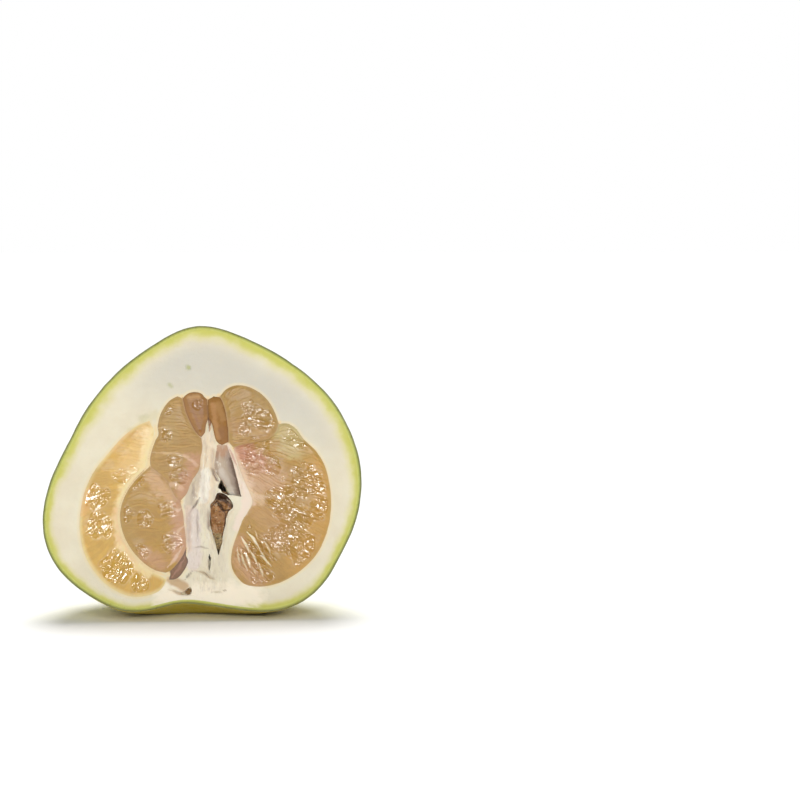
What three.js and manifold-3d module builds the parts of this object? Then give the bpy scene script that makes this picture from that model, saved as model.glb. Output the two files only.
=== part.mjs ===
// A pomelo cut in half from stem end to blossom end. The half stands on its own base, leaning back a
// little, with the cut face towards -Y. Green skin goes round thick white pith. Pockets in the pith hold
// the juicy segments that the cut shows, and its core has split open round some dried brown tissue.
//
// Everything is laid out on the cut face first: u to the right, w up along the face, both from the
// middle of the face, and d into the fruit, all in millimetres. In this scene u is X, d is Y and w is Z
// until the whole fruit is leaned back and set down.

import * as THREE from "three";
import { mergeVertices } from "three/addons/utils/BufferGeometryUtils.js";
import Module from "manifold-3d";

// The half as a whole
const LEAN = THREE.MathUtils.degToRad(10);
const BASE_DROP = 63.4; // from the middle of the face, straight down to the surface it stands on
const SETTLE = 0.5; // how far above the surface the flat spot starts to round off

// The outline of the cut: its radius every 15 degrees, anticlockwise from the right
const OUTLINE_STEP = 15;
const OUTLINE = [
  74.4, 73.1, 71.3, 69.2, 68.1, 69.2, 70.8, 66.5, 62.8, 61.1, 60.6, 62.1,
  67.2, 73.4, 75.5, 72.6, 68.6, 61.5, 59.6, 62.0, 69.4, 73.9, 73.5, 74.2,
];
const OUTLINE_PASSES = 30; // of the solution for a smooth curve through all the radii
const BULGE = 0.03; // the fruit is widest a little behind the cut

// Shallow furrows round the neck, and the dimple at the blossom end
const FURROWS = 9;
const FURROW_DEPTH = 0.5;
const NECK_ANGLE = 0.75; // radians from the stem axis, where the furrows fade
const DIMPLE = { u: -4.5, d: 4, depth: 3.2, radius: 10.5 };

// Layers
const SKIN = 2;
const GAP = 0.3; // between neighbouring pieces
const OPEN = 3; // how far a pocket's cutter stands out in front of the face
const ROUND_STEPS = 60; // round the outline
const DEEP_STEPS = 12; // from the cut to the back of the fruit

// Juice sacs show as ribs across each segment, which swells a little out of its pocket
const SAC_WIDTH = 4.6;
const SAC_RELIEF = 0.55;
const SWELL = 0.5;
const SUNK = 0.45; // the rim of a segment lies this far behind the cut
const RIM_STEEPNESS = 6; // how soon the relief starts, counting in from the rim

const COLOURS = {
  skin: 0xa9b13c,
  pith: 0xefe6d2,
  pulp: 0xc29a5c,
  pulpPale: 0xe0bc70,
  pulpDark: 0xa67c48,
  pulpPink: 0xb98a78,
  tissue: 0x8a6238,
};

// Each segment is drawn by its two edges on the face, from its top tip to its bottom tip, with the edge
// nearer the skin first, and is as deep as it says in the middle.
const SEGMENTS = {
  segment_left_outer: {
    outer: [
      [-22.3, 27], [-27.5, 25], [-33.5, 20.6], [-40.5, 13], [-47, 4.8], [-51.5, -4.5], [-53.7, -15],
      [-53.8, -25], [-51.5, -34], [-46.8, -42], [-40, -48.8], [-31, -52.7], [-22.5, -52.2], [-17, -49.4],
      [-15.2, -45.2],
    ],
    inner: [
      [-22.3, 27], [-20.6, 22], [-21.3, 18.5], [-23, 13], [-23.8, 8.5], [-25.2, 4.8], [-28.8, 1.4],
      [-32.8, -3.6], [-35.8, -9.6], [-37.1, -15.2], [-36.6, -21.4], [-34.5, -27.6], [-31.2, -33.2],
      [-26.9, -38.2], [-21.8, -41.9], [-15.2, -45.2],
    ],
    depth: 14,
    along: 40,
    across: 6,
    colour: COLOURS.pulpPale,
  },
  segment_left_upper: {
    outer: [
      [-9.5, 38.2], [-13, 36.3], [-16, 32.6], [-18, 28], [-18.4, 24], [-17.9, 20.8], [-19.8, 16.8],
      [-21.3, 12.5], [-22, 8.9], [-20.6, 6.2], [-17.2, 3.2], [-14.2, 0], [-12.4, -3.6], [-10.6, -7],
      [-8.5, -9.6],
    ],
    inner: [
      [-9.5, 38.2], [-7.6, 36.2], [-6.9, 32.5], [-5.4, 28], [-3.3, 23.6], [-0.9, 20], [1.2, 17.3],
      [1.5, 14], [0.7, 10], [0.3, 6], [-0.3, 4], [-2.5, 0.5], [-4.3, -2.8], [-5.6, -6.2], [-8.5, -9.6],
    ],
    depth: 11,
    along: 26,
    across: 7,
    colour: COLOURS.pulp,
  },
  segment_left_lower: {
    outer: [
      [-23, 5.4], [-27.2, 1.6], [-31.2, -3.2], [-34.2, -9], [-35.5, -15], [-35, -20.8], [-33.1, -26.6],
      [-30, -31.8], [-26, -36.4], [-21.3, -40], [-15.3, -42],
    ],
    inner: [
      [-23, 5.4], [-18.6, 2.6], [-15.2, -0.6], [-13.2, -4.3], [-11.3, -8], [-8.6, -11.2], [-7.4, -15.5],
      [-7, -20], [-6.4, -25], [-6.2, -30], [-7.9, -34.8], [-11.2, -38.8], [-15.3, -42],
    ],
    depth: 14,
    along: 26,
    across: 9,
    colour: COLOURS.pulp,
  },
  segment_top_left: {
    outer: [
      [-2, 40.1], [-5.2, 39.2], [-6.6, 36.8], [-5.8, 33], [-4.2, 28.8], [-2.2, 24.6], [-0.3, 21.4],
      [1.6, 19.8],
    ],
    inner: [
      [-2, 40.1], [1.2, 39.4], [3, 37], [3.5, 33.5], [3.4, 28.5], [3.1, 24], [2.6, 21.2], [1.6, 19.8],
    ],
    depth: 6,
    along: 12,
    across: 4,
    colour: COLOURS.pulpDark,
  },
  segment_top_right: {
    outer: [
      [7, 38.1], [9.2, 36.9], [10.9, 33.5], [12, 29], [12.6, 24], [12.8, 19.5], [12.3, 16.8],
      [10.6, 15.7],
    ],
    inner: [
      [7, 38.1], [5.2, 36.6], [4.7, 33.5], [5.4, 29], [6.4, 24.5], [7.3, 20], [8.4, 17], [10.6, 15.7],
    ],
    depth: 6,
    along: 12,
    across: 4,
    colour: COLOURS.pulpDark,
  },
  segment_right_upper: {
    outer: [
      [10.5, 38.8], [13, 41.5], [17, 43], [22, 42.6], [27, 40.2], [31.5, 36], [34.2, 31.5], [35.7, 27],
      [35, 23], [32, 19.8], [26, 18], [20, 16.8], [15, 15.2],
    ],
    inner: [[10.5, 38.8], [12, 35], [13.2, 30], [14, 24], [14.2, 19], [15, 15.2]],
    depth: 12,
    along: 22,
    across: 8,
    colour: COLOURS.pulp,
  },
  segment_right: {
    outer: [
      [36.8, 25], [40, 25.4], [43.4, 23.8], [46, 20.8], [48, 17.8], [51.4, 14.8], [54.8, 10.6],
      [57.6, 5], [59.4, -3], [60, -10], [59.5, -18], [57.5, -26], [53.5, -34], [48, -40], [41, -45],
      [33, -48.3], [25, -48.9], [19.5, -47.2], [15.8, -43],
    ],
    inner: [
      [36.8, 25], [35.6, 21], [32.5, 18], [26, 16.2], [20, 15], [16.3, 13.2], [17.3, 8.5], [18.9, 3.5],
      [20.8, -1.5], [22.8, -6], [24.2, -10.5], [22, -15], [19.6, -19], [17.4, -24.5], [15.4, -30],
      [14.3, -35.5], [14.6, -40], [15.8, -43],
    ],
    depth: 18,
    along: 44,
    across: 12,
    colour: COLOURS.pulp,
  },
  segment_left_sliver: {
    outer: [[-6, -31.5], [-7.6, -36], [-10, -39.6], [-12.3, -42.8], [-13.4, -45.4]],
    inner: [[-6, -31.5], [-5.4, -35], [-6.3, -38.6], [-8.6, -42.2], [-11, -44.6], [-13.4, -45.4]],
    depth: 3,
    along: 8,
    across: 3,
    colour: COLOURS.pulpPink,
  },
};

// Hollows in the core: an emptied segment with its side walls, the split down the middle, a slit and
// the torn corner at the base
const HOLLOWS = {
  emptied: {
    outer: [
      [10.8, 14.2], [13.2, 12.6], [14.7, 8.4], [16.2, 3.5], [17.4, -1.5], [18.4, -6], [17, -8.4],
    ],
    inner: [
      [10.8, 14.2], [8.6, 12], [7.4, 8], [6.9, 4.2], [8.4, 0.6], [10.9, -2], [13, -5], [14.8, -7.6],
      [17, -8.4],
    ],
    depth: 5,
    along: 12,
  },
  split: {
    outer: [
      [9.4, -0.8], [11.6, -4], [13.4, -7.4], [15, -11], [14.4, -14.4], [12.2, -17.4], [11.8, -21.5],
      [11, -25.5], [10.4, -30], [9, -35],
    ],
    inner: [
      [9.4, -0.8], [8.4, -3.6], [7.6, -7.4], [6, -11.5], [5.3, -15.5], [5.3, -20], [5.8, -25],
      [6.7, -29], [8, -32.5], [9, -35],
    ],
    depth: 10,
    along: 16,
  },
  slit: {
    outer: [[4.2, -34], [4.9, -36.5], [5.1, -39], [4, -42.5]],
    inner: [[4.2, -34], [3.7, -37], [3.6, -40], [4, -42.5]],
    depth: 4,
    along: 6,
  },
  torn_corner: {
    outer: [[-10.5, -51.4], [-7, -52.1], [-4.2, -51.8], [-2.8, -50], [-3.6, -47.8]],
    inner: [[-10.5, -51.4], [-7, -50.6], [-5, -49.6], [-3.6, -47.8]],
    depth: 5,
    along: 8,
  },
};
const BACK_STEPS = 6; // round the back of a segment or a hollow

// The dried tissue lies in the deep end of the split
const TISSUE = { front: 4, depth: 9.3, ridge: 0.8, width: 0.74, from: 0.16, to: 0.72, along: 10, around: 10 };

const wasm = await Module();
wasm.setup();

// A smooth closed curve through the outline's radii: the weights of a cubic B-spline that passes them.
function splineWeights(radii) {
  const n = radii.length;
  let weights = [...radii];
  for (let pass = 0; pass < OUTLINE_PASSES; pass++)
    weights = weights.map((w, i) => {
      const reached = (weights[(i + n - 1) % n] + 4 * w + weights[(i + 1) % n]) / 6;
      return w + radii[i] - reached;
    });
  return weights;
}
const OUTLINE_WEIGHTS = splineWeights(OUTLINE);

function outlineRadius(angle) {
  const n = OUTLINE.length;
  const place = THREE.MathUtils.euclideanModulo(THREE.MathUtils.radToDeg(angle) / OUTLINE_STEP, n);
  const i = Math.floor(place);
  const t = place - i;
  const blend = [
    (1 - t) ** 3,
    3 * t ** 3 - 6 * t ** 2 + 4,
    -3 * t ** 3 + 3 * t ** 2 + 3 * t + 1,
    t ** 3,
  ];
  return blend.reduce((sum, b, k) => sum + (b / 6) * OUTLINE_WEIGHTS[(i + k - 1 + n) % n], 0);
}

// A point of the fruit's outside, inset by a depth below the skin. round is the angle on the face, and
// back the angle from the face towards the back of the fruit.
function fruitPoint(round, back, inset) {
  const way = new THREE.Vector3(
    Math.cos(back) * Math.cos(round),
    Math.sin(back),
    Math.cos(back) * Math.sin(round),
  );
  const fromStem = Math.acos(THREE.MathUtils.clamp(way.z, -1, 1));
  const level = Math.max(Math.hypot(way.x, way.y), 1e-9);
  const side = way.x / level; // 1 at the right edge of the cut, 0 at the back and -1 at the left edge
  const right = outlineRadius(Math.PI / 2 - fromStem);
  const left = outlineRadius(Math.PI / 2 + fromStem);
  const turn = Math.atan2(way.y, way.x);
  const furrow = Math.cos(FURROWS * turn) * Math.exp(-((fromStem / NECK_ANGLE) ** 4));
  const offAxis = Math.min(1, (2 * fromStem) / NECK_ANGLE);
  let radius = (right + left) / 2 + ((right - left) / 2) * side;
  radius *= 1 + BULGE * Math.sin(2 * back);
  radius -= FURROW_DEPTH * furrow * (offAxis * Math.sin(back)) ** 2;
  return settled(dimpled(way.multiplyScalar(radius - inset)), inset);
}

function dimpled(point) {
  if (point.z > 0) return point;
  const away = Math.hypot(point.x - DIMPLE.u, point.y - DIMPLE.d);
  point.z += DIMPLE.depth * Math.exp(-(away ** 2) / (2 * DIMPLE.radius ** 2));
  return point;
}

// Presses the base flat where it would sink below the surface it stands on.
function settled(point, inset) {
  const height = point.z * Math.cos(LEAN) - point.y * Math.sin(LEAN) + BASE_DROP - inset;
  if (height >= SETTLE) return point;
  const kept = height <= -SETTLE ? 0 : (height + SETTLE) ** 2 / (4 * SETTLE);
  point.z += (kept - height) * Math.cos(LEAN);
  point.y -= (kept - height) * Math.sin(LEAN);
  return point;
}

// A closed mesh from rings of points, with a single point past the first ring and the last.
function lofted(rings, firstTip, lastTip) {
  const points = [firstTip, ...rings.flat(), lastTip];
  const size = rings[0].length;
  const at = (ring, k) => 1 + ring * size + (k % size);
  const last = points.length - 1;
  const faces = [];
  for (let k = 0; k < size; k++) {
    faces.push([0, at(0, k + 1), at(0, k)]);
    faces.push([last, at(rings.length - 1, k), at(rings.length - 1, k + 1)]);
    for (let r = 0; r + 1 < rings.length; r++) {
      faces.push([at(r, k), at(r, k + 1), at(r + 1, k)]);
      faces.push([at(r, k + 1), at(r + 1, k + 1), at(r + 1, k)]);
    }
  }
  return facingOut(points, faces);
}

function facingOut(points, faces) {
  let volume = 0;
  for (const [a, b, c] of faces)
    volume += new THREE.Vector3().crossVectors(points[a], points[b]).dot(points[c]);
  const order = volume < 0 ? ([a, b, c]) => [a, c, b] : (face) => face;
  const geometry = new THREE.BufferGeometry().setFromPoints(points);
  geometry.setIndex(faces.flatMap(order));
  return geometry;
}

function solidOf(geometry) {
  const merged = mergeVertices(geometry, 1e-4);
  return new wasm.Manifold(
    new wasm.Mesh({
      numProp: 3,
      vertProperties: new Float32Array(merged.attributes.position.array),
      triVerts: new Uint32Array(merged.index.array),
    }),
  );
}

function geometryOf(solid) {
  const { numProp, vertProperties, triVerts } = solid.getMesh();
  const places = [];
  for (let i = 0; i < vertProperties.length; i += numProp) places.push(...vertProperties.subarray(i, i + 3));
  const geometry = new THREE.BufferGeometry();
  geometry.setAttribute("position", new THREE.Float32BufferAttribute(places, 3));
  geometry.setIndex([...triVerts]);
  return geometry;
}

function ring(step, inset) {
  const back = (step / DEEP_STEPS) * (Math.PI / 2);
  return Array.from({ length: ROUND_STEPS }, (_, k) =>
    fruitPoint((k / ROUND_STEPS) * 2 * Math.PI, back, inset),
  );
}

// The fruit's outside down to a depth below the skin, as rings from the cut to the back.
function outside(inset) {
  const rings = Array.from({ length: DEEP_STEPS }, (_, step) => ring(step, inset));
  return { rings, back: fruitPoint(0, Math.PI / 2, inset) };
}

function skinGeometry() {
  const over = outside(0);
  const under = outside(SKIN);
  return lofted([...over.rings.toReversed(), ...under.rings], over.back, under.back);
}

function curveThrough(places) {
  const curve = new THREE.CatmullRomCurve3(places.map(([u, w]) => new THREE.Vector3(u, 0, w)));
  curve.arcLengthDivisions = 20 * places.length;
  return curve;
}

// Points at even steps along a smooth edge, moved out from the shape by a gap.
function edgePoints(places, steps, gap, sign) {
  const curve = curveThrough(places);
  return Array.from({ length: steps + 1 }, (_, i) => {
    const along = i / steps;
    const forward = curve.getTangentAt(along);
    const outwards = new THREE.Vector3(forward.z, 0, -forward.x).multiplyScalar(sign * gap);
    return curve.getPointAt(along).add(outwards);
  });
}

// Which side of its own line an edge's outside is on: 1 or -1.
function outwardSign(edge, other) {
  const middle = edge[Math.floor(edge.length / 2)];
  const before = edge[Math.floor(edge.length / 2) - 1];
  const across = other[Math.floor(other.length / 2)];
  const forward = [middle[0] - before[0], middle[1] - before[1]];
  const away = [middle[0] - across[0], middle[1] - across[1]];
  return Math.sign(forward[1] * away[0] - forward[0] * away[1]);
}

function tipOf(places, gap) {
  const [first, second] = places;
  const out = new THREE.Vector3(first[0] - second[0], 0, first[1] - second[1]).normalize();
  return new THREE.Vector3(first[0], 0, first[1]).addScaledVector(out, gap);
}

// The two edges of a shape on the face, moved out by a gap, and the tips where they meet.
function edgesOf({ outer, inner, along }, gap) {
  return {
    starts: edgePoints(outer, along, gap, outwardSign(outer, inner)),
    ends: edgePoints(inner, along, gap, outwardSign(inner, outer)),
    top: tipOf(outer, gap),
    bottom: tipOf(outer.toReversed(), gap),
  };
}

// A body between two edges on the face: its front by front(along, across) and its back a round bowl.
function bodyBetween(shape, across, gap, front) {
  const { starts, ends, top, bottom } = edgesOf(shape, gap);
  const rings = [];
  for (let i = 1; i < shape.along; i++) {
    const s = i / shape.along;
    const deep = (shape.depth + gap) * Math.sqrt(Math.sin(Math.PI * s));
    const points = [];
    for (let k = 0; k <= across; k++) {
      const point = new THREE.Vector3().lerpVectors(starts[i], ends[i], k / across);
      point.y = front(s, k / across);
      points.push(point);
    }
    for (let k = 1; k < BACK_STEPS; k++) {
      const turn = (Math.PI * k) / BACK_STEPS;
      const point = new THREE.Vector3().lerpVectors(ends[i], starts[i], (1 - Math.cos(turn)) / 2);
      point.y = SUNK + deep * Math.sin(turn);
      points.push(point);
    }
    rings.push(points);
  }
  top.y = front(0, 0);
  bottom.y = front(1, 0);
  return lofted(rings, top, bottom);
}

// What is cut out of the pith for a shape: its bowl, and its outline from there out past the face.
function pocketOf(shape, gap) {
  const { starts, ends, top, bottom } = edgesOf(shape, gap);
  const outline = [top, ...starts.slice(1, -1), bottom, ...ends.slice(1, -1).reverse()];
  const mouth = wasm.Manifold.extrude([facingUp(outline.map(({ x, z }) => [x, z]))], OPEN + SUNK);
  const bowl = solidOf(bodyBetween(shape, 1, gap, () => SUNK));
  return bowl.add(mouth.rotate([90, 0, 0]).translate([0, SUNK, 0]));
}

function facingUp(outline) {
  const twiceArea = outline.reduce((sum, [x, y], i) => {
    const [nextX, nextY] = outline[(i + 1) % outline.length];
    return sum + x * nextY - nextX * y;
  }, 0);
  return twiceArea < 0 ? outline.toReversed() : outline;
}

// The juice sacs of a segment lie across it, in two rows that meet like bricks along its middle.
function sacFront(segment) {
  const length = curveThrough(segment.outer).getLength();
  return (s, t) => {
    const edge = Math.min(1, RIM_STEEPNESS * Math.min(s, 1 - s, t, 1 - t));
    const row = t < 0.5 ? 0 : 0.5;
    const rib = Math.abs(Math.sin(Math.PI * ((s * length) / SAC_WIDTH + row)));
    return SUNK - edge * (SWELL * Math.sin(Math.PI * t) + SAC_RELIEF * rib);
  };
}

function segmentGeometry(segment) {
  return bodyBetween(segment, segment.across, 0, sacFront(segment));
}

function pithGeometry() {
  const under = outside(SKIN + GAP);
  const faceMiddle = new THREE.Vector3(0, 0, 0);
  let pith = solidOf(lofted(under.rings, faceMiddle, under.back));
  for (const segment of Object.values(SEGMENTS)) pith = pith.subtract(pocketOf(segment, GAP));
  for (const hollow of Object.values(HOLLOWS)) pith = pith.subtract(pocketOf(hollow, 0));
  return geometryOf(pith);
}

// A lump in the deep end of the split, round behind and ridged in front.
function tissueGeometry() {
  const { front, depth, ridge, width, from, to, along, around } = TISSUE;
  const [outer, inner] = [HOLLOWS.split.outer, HOLLOWS.split.inner].map(curveThrough);
  const middleAt = (s) => new THREE.Vector3().lerpVectors(outer.getPointAt(s), inner.getPointAt(s), 0.5);
  const rings = [];
  for (let i = 1; i < along; i++) {
    const s = THREE.MathUtils.lerp(from, to, i / along);
    const fullness = Math.sqrt(Math.sin((Math.PI * i) / along));
    const middle = middleAt(s);
    const half = outer.getPointAt(s).sub(middle).multiplyScalar(width * fullness);
    const points = [];
    for (let k = 0; k < around; k++) {
      const turn = (2 * Math.PI * k) / around;
      const point = middle.clone().addScaledVector(half, Math.cos(turn));
      const behind = Math.sin(turn) > 0;
      point.y = front + Math.sin(turn) * (behind ? (depth - front) * fullness : ridge * (k % 2));
      points.push(point);
    }
    rings.push(points);
  }
  const [top, bottom] = [from, to].map(middleAt);
  top.y = front + ridge;
  bottom.y = front + ridge;
  return lofted(rings, top, bottom);
}

function piece(name, geometry, colour, roughness) {
  const material = new THREE.MeshStandardMaterial({ color: colour, roughness, metalness: 0 });
  const mesh = new THREE.Mesh(geometry, material);
  mesh.name = name;
  return mesh;
}

const fruit = new THREE.Group();
fruit.add(piece("skin", skinGeometry(), COLOURS.skin, 0.45));
fruit.add(piece("pith", pithGeometry(), COLOURS.pith, 0.8));
for (const [name, segment] of Object.entries(SEGMENTS))
  fruit.add(piece(name, segmentGeometry(segment), segment.colour, 0.25));
fruit.add(piece("core_tissue", tissueGeometry(), COLOURS.tissue, 0.6));
fruit.rotation.x = -LEAN;

// The origin is under the middle of the half, on the surface it stands on.
fruit.position.z = BASE_DROP;
const pomelo = new THREE.Group();
pomelo.add(fruit);
pomelo.updateMatrixWorld(true);
const middle = new THREE.Box3().setFromObject(pomelo, true).getCenter(new THREE.Vector3());
fruit.position.x = -middle.x;
fruit.position.y = -middle.y;

export default pomelo;
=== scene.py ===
"""The looks of a cut pomelo half: pitted green peel, white pith, wet flesh and a torn core.

Shapes are laid out in the fruit's own axes, in millimetres: u to the right and w up on the cut face,
and d into the fruit. place() leans them back into the shared frame, in metres.
"""

import itertools
import math

import bmesh
import bpy
import numpy as np
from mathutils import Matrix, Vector


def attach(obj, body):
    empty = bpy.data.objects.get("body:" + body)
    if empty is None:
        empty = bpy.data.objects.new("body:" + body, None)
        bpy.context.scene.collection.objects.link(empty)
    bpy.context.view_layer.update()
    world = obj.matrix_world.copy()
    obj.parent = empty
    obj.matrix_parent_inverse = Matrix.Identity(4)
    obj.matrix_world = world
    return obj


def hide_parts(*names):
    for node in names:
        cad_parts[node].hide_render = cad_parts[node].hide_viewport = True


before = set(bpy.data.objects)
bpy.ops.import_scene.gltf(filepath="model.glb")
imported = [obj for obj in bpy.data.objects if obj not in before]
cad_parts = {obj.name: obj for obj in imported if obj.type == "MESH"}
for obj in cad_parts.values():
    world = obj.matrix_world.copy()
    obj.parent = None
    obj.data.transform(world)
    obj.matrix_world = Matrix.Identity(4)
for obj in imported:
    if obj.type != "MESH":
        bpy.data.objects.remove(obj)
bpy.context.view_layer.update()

# How the fruit stands, as in the CAD
MM = 0.001
LEAN = math.radians(10)
FACE_MIDDLE = np.array([-1.82, -29.81, 63.4])
SETTLE = 0.5

# The outline of the cut: its radius every 15 degrees, anticlockwise from the right
OUTLINE = np.array([
    74.4, 73.1, 71.3, 69.2, 68.1, 69.2, 70.8, 66.5, 62.8, 61.1, 60.6, 62.1,
    67.2, 73.4, 75.5, 72.6, 68.6, 61.5, 59.6, 62.0, 69.4, 73.9, 73.5, 74.2,
])
OUTLINE_PASSES = 30
BULGE = 0.03
FURROWS = 9
FURROW_DEPTH = 0.5
NECK_ANGLE = 0.75
DIMPLE_U, DIMPLE_D, DIMPLE_DEPTH, DIMPLE_RADIUS = -4.5, 4, 3.2, 10.5
SKIN = 2

PEEL_SINK = 0.27  # of the peel below the CAD's skin, to leave room for its roughness
PITH_GAP = 0.03  # between the peel and the pith

RIM_DEPTH = 0.45  # of a CAD segment, behind the cut
CORE_U = 4  # the core's line on the face
EDGE_POINTS = 121
THICK_MEMBRANE = 1.25  # between the pale segment and its neighbours
THIN_MEMBRANE = 0.2
CUTTER_FRONT = -6  # where the cutters start, before the cut
POCKET_DEPTH = 9
POCKET_POINTS = 90
RIM_SINK = 0.14  # of a segment's edge below the pith
RIM_OVERLAP = 0.1  # of a segment's edge into its pocket's wall
BODY_DEPTH = 8.5

# The photo's frame: its middle and the fruit's middle in pixels, and a pixel's size at the fruit
PHOTO_MIDDLE = 400
PHOTO_FRUIT = (199, 479.5)
PHOTO_PIXEL = 0.4553 * MM
CAMERA_AWAY = 1.1
CAMERA_RISE = 6
ROOM_LIGHT = 0.32

# Mesh fineness
SKIN_ROUND, SKIN_DEEP = 480, 110
PITH_ROUND, PITH_OUT = 420, 150
HIDDEN_DEEP = 12
SAC_STEP = 0.27  # across a segment
ROW_STEP = SAC_STEP / 1.15  # along it

# The juice sacs' size, how far apart the wet beads are, and the radius and height of single drops
SAC_WIDTH = 1.7
SAC_LENGTH = 11
BEAD = 1.9
DROP, DROP_HEIGHT = 0.9, 0.14

# The tips of each segment on the face, its colours, and its own looks where they aren't the usual ones:
# how mottled it is, how far its sacs and beads stand out, and how glossy it is
USUAL_LOOKS = {"grain": 0.8, "sacs": 0.85, "beaded": 1, "gloss": 1.0}
SEGMENTS = {
    "segment_left_outer": {
        "tips": ((-22.3, 27), (-15.2, -45.2)), "colour": (206, 165, 70), "edge": (240, 216, 156), "seed": 1,
        "grain": 0.45, "sacs": 0.5},
    "segment_left_upper": {
        "tips": ((-9.5, 38.2), (-8.5, -9.6)), "colour": (174, 136, 66), "edge": (176, 132, 76), "seed": 2},
    "segment_left_lower": {
        "tips": ((-23, 5.4), (-15.3, -42)), "colour": (180, 139, 54), "edge": (182, 136, 74), "seed": 3},
    "segment_top_left": {
        "tips": ((-2, 40.1), (1.6, 19.8)), "colour": (156, 110, 50), "edge": (140, 94, 50), "seed": 4,
        "beaded": 0.5, "sacs": 0.5, "gloss": 0.6},
    "segment_top_right": {
        "tips": ((7, 38.1), (10.6, 15.7)), "colour": (152, 108, 52), "edge": (122, 82, 42), "seed": 5,
        "beaded": 0.1, "sacs": 0.2, "gloss": 0.25},
    "segment_right_upper": {
        "tips": ((10.5, 38.8), (15, 15.2)), "colour": (170, 132, 56), "edge": (178, 140, 80), "seed": 6},
    "segment_right": {
        "tips": ((36.8, 25), (15.8, -43)), "colour": (177, 136, 54), "edge": (196, 158, 88), "seed": 7},
    "segment_left_sliver": {
        "tips": ((-6, -31.5), (-13.4, -45.4)), "colour": (131, 92, 61), "edge": (96, 62, 46), "seed": 8},
}
SLIVER_WIDER = 1.45


# Shapes and noise

def smoothstep(low, high, x):
    t = np.clip((x - low) / (high - low), 0, 1)
    return t * t * (3 - 2 * t)


def lattice(corners, seed):
    """A steady value from 0 to 1 for each whole-number corner."""
    mixed = np.sin(corners @ np.array([127.1, 311.7, 74.7]) + seed * 53.37) * 43758.5453
    return mixed - np.floor(mixed)


def noise(points, size, seed=0):
    """Smooth values from -1 to 1 that change over about that size."""
    scaled = np.asarray(points) / size
    low = np.floor(scaled)
    t = scaled - low
    t = t * t * (3 - 2 * t)
    total = 0
    for corner in itertools.product((0, 1), repeat=3):
        weight = np.prod(np.where(corner, t, 1 - t), axis=-1)
        total = total + weight * lattice(low + corner, seed)
    return 2 * total - 1


def flat(u, w):
    return np.stack([u, w, np.zeros_like(u)], -1)


def cells(x, y, seed=0):
    """How far the two nearest of points strewn one to a unit square are, and the nearest's own value."""
    nearest = np.full(x.shape, 9.0)
    second = nearest.copy()
    own = np.zeros(x.shape)
    for i, j in itertools.product((-1, 0, 1), repeat=2):
        corner = flat(np.floor(x) + i, np.floor(y) + j)
        away = np.hypot(
            corner[..., 0] + lattice(corner, seed + 1) - x,
            corner[..., 1] + lattice(corner, seed + 2) - y,
        )
        nearer = away < nearest
        second = np.where(nearer, nearest, np.minimum(second, away))
        own = np.where(nearer, lattice(corner, seed + 3), own)
        nearest = np.where(nearer, away, nearest)
    return nearest, second, own


def line_distance(u, w, points):
    """How far each place is from a line through the points, and how far along it, from 0 to 1."""
    points = np.array(points, float)
    best = np.full(np.shape(u), 1e9)
    along = np.zeros(np.shape(u))
    for k, (a, b) in enumerate(zip(points[:-1], points[1:])):
        step = b - a
        t = np.clip(((u - a[0]) * step[0] + (w - a[1]) * step[1]) / (step @ step), 0, 1)
        away = np.hypot(u - a[0] - t * step[0], w - a[1] - t * step[1])
        along = np.where(away < best, (k + t) / (len(points) - 1), along)
        best = np.minimum(best, away)
    return best, along


def run_along(line):
    """How far along the line each of its points is."""
    return np.concatenate([[0], np.cumsum(np.linalg.norm(np.diff(line, axis=0), axis=1))])


def curve_through(points, count, closed=False):
    """Evenly spaced points on a smooth curve through the ones given."""
    points = np.array(points, float)
    if closed:
        padded = np.concatenate([points[-1:], points, points[:2]])
    else:
        padded = np.concatenate([2 * points[:1] - points[1:2], points, 2 * points[-1:] - points[-2:-1]])
    fine = 12
    t = (np.arange(fine) / fine)[:, None]
    pieces = []
    for a, b, c, e in zip(padded[:-3], padded[1:-2], padded[2:-1], padded[3:]):
        pieces.append(0.5 * (2 * b + (c - a) * t + (2 * a - 5 * b + 4 * c - e) * t**2
                             + (3 * b - a - 3 * c + e) * t**3))
    dense = np.concatenate(pieces + [padded[-2:-1]])
    length = run_along(dense)
    wanted = np.linspace(0, length[-1], count)
    return np.stack([np.interp(wanted, length, dense[:, k]) for k in range(dense.shape[1])], -1)


# The fruit's form, by the same formulas as in the CAD

def spline_weights(radii):
    weights = radii.copy()
    for _ in range(OUTLINE_PASSES):
        reached = (np.roll(weights, 1) + 4 * weights + np.roll(weights, -1)) / 6
        weights = weights + radii - reached
    return weights


OUTLINE_WEIGHTS = spline_weights(OUTLINE)


def outline_radius(angle):
    count = len(OUTLINE)
    place_on = np.mod(angle / (2 * math.pi) * count, count)
    i = np.floor(place_on).astype(int)
    t = place_on - i
    blend = [(1 - t) ** 3, 3 * t**3 - 6 * t**2 + 4, -3 * t**3 + 3 * t**2 + 3 * t + 1, t**3]
    return sum(b / 6 * OUTLINE_WEIGHTS[(i + k - 1) % count] for k, b in enumerate(blend))


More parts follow.
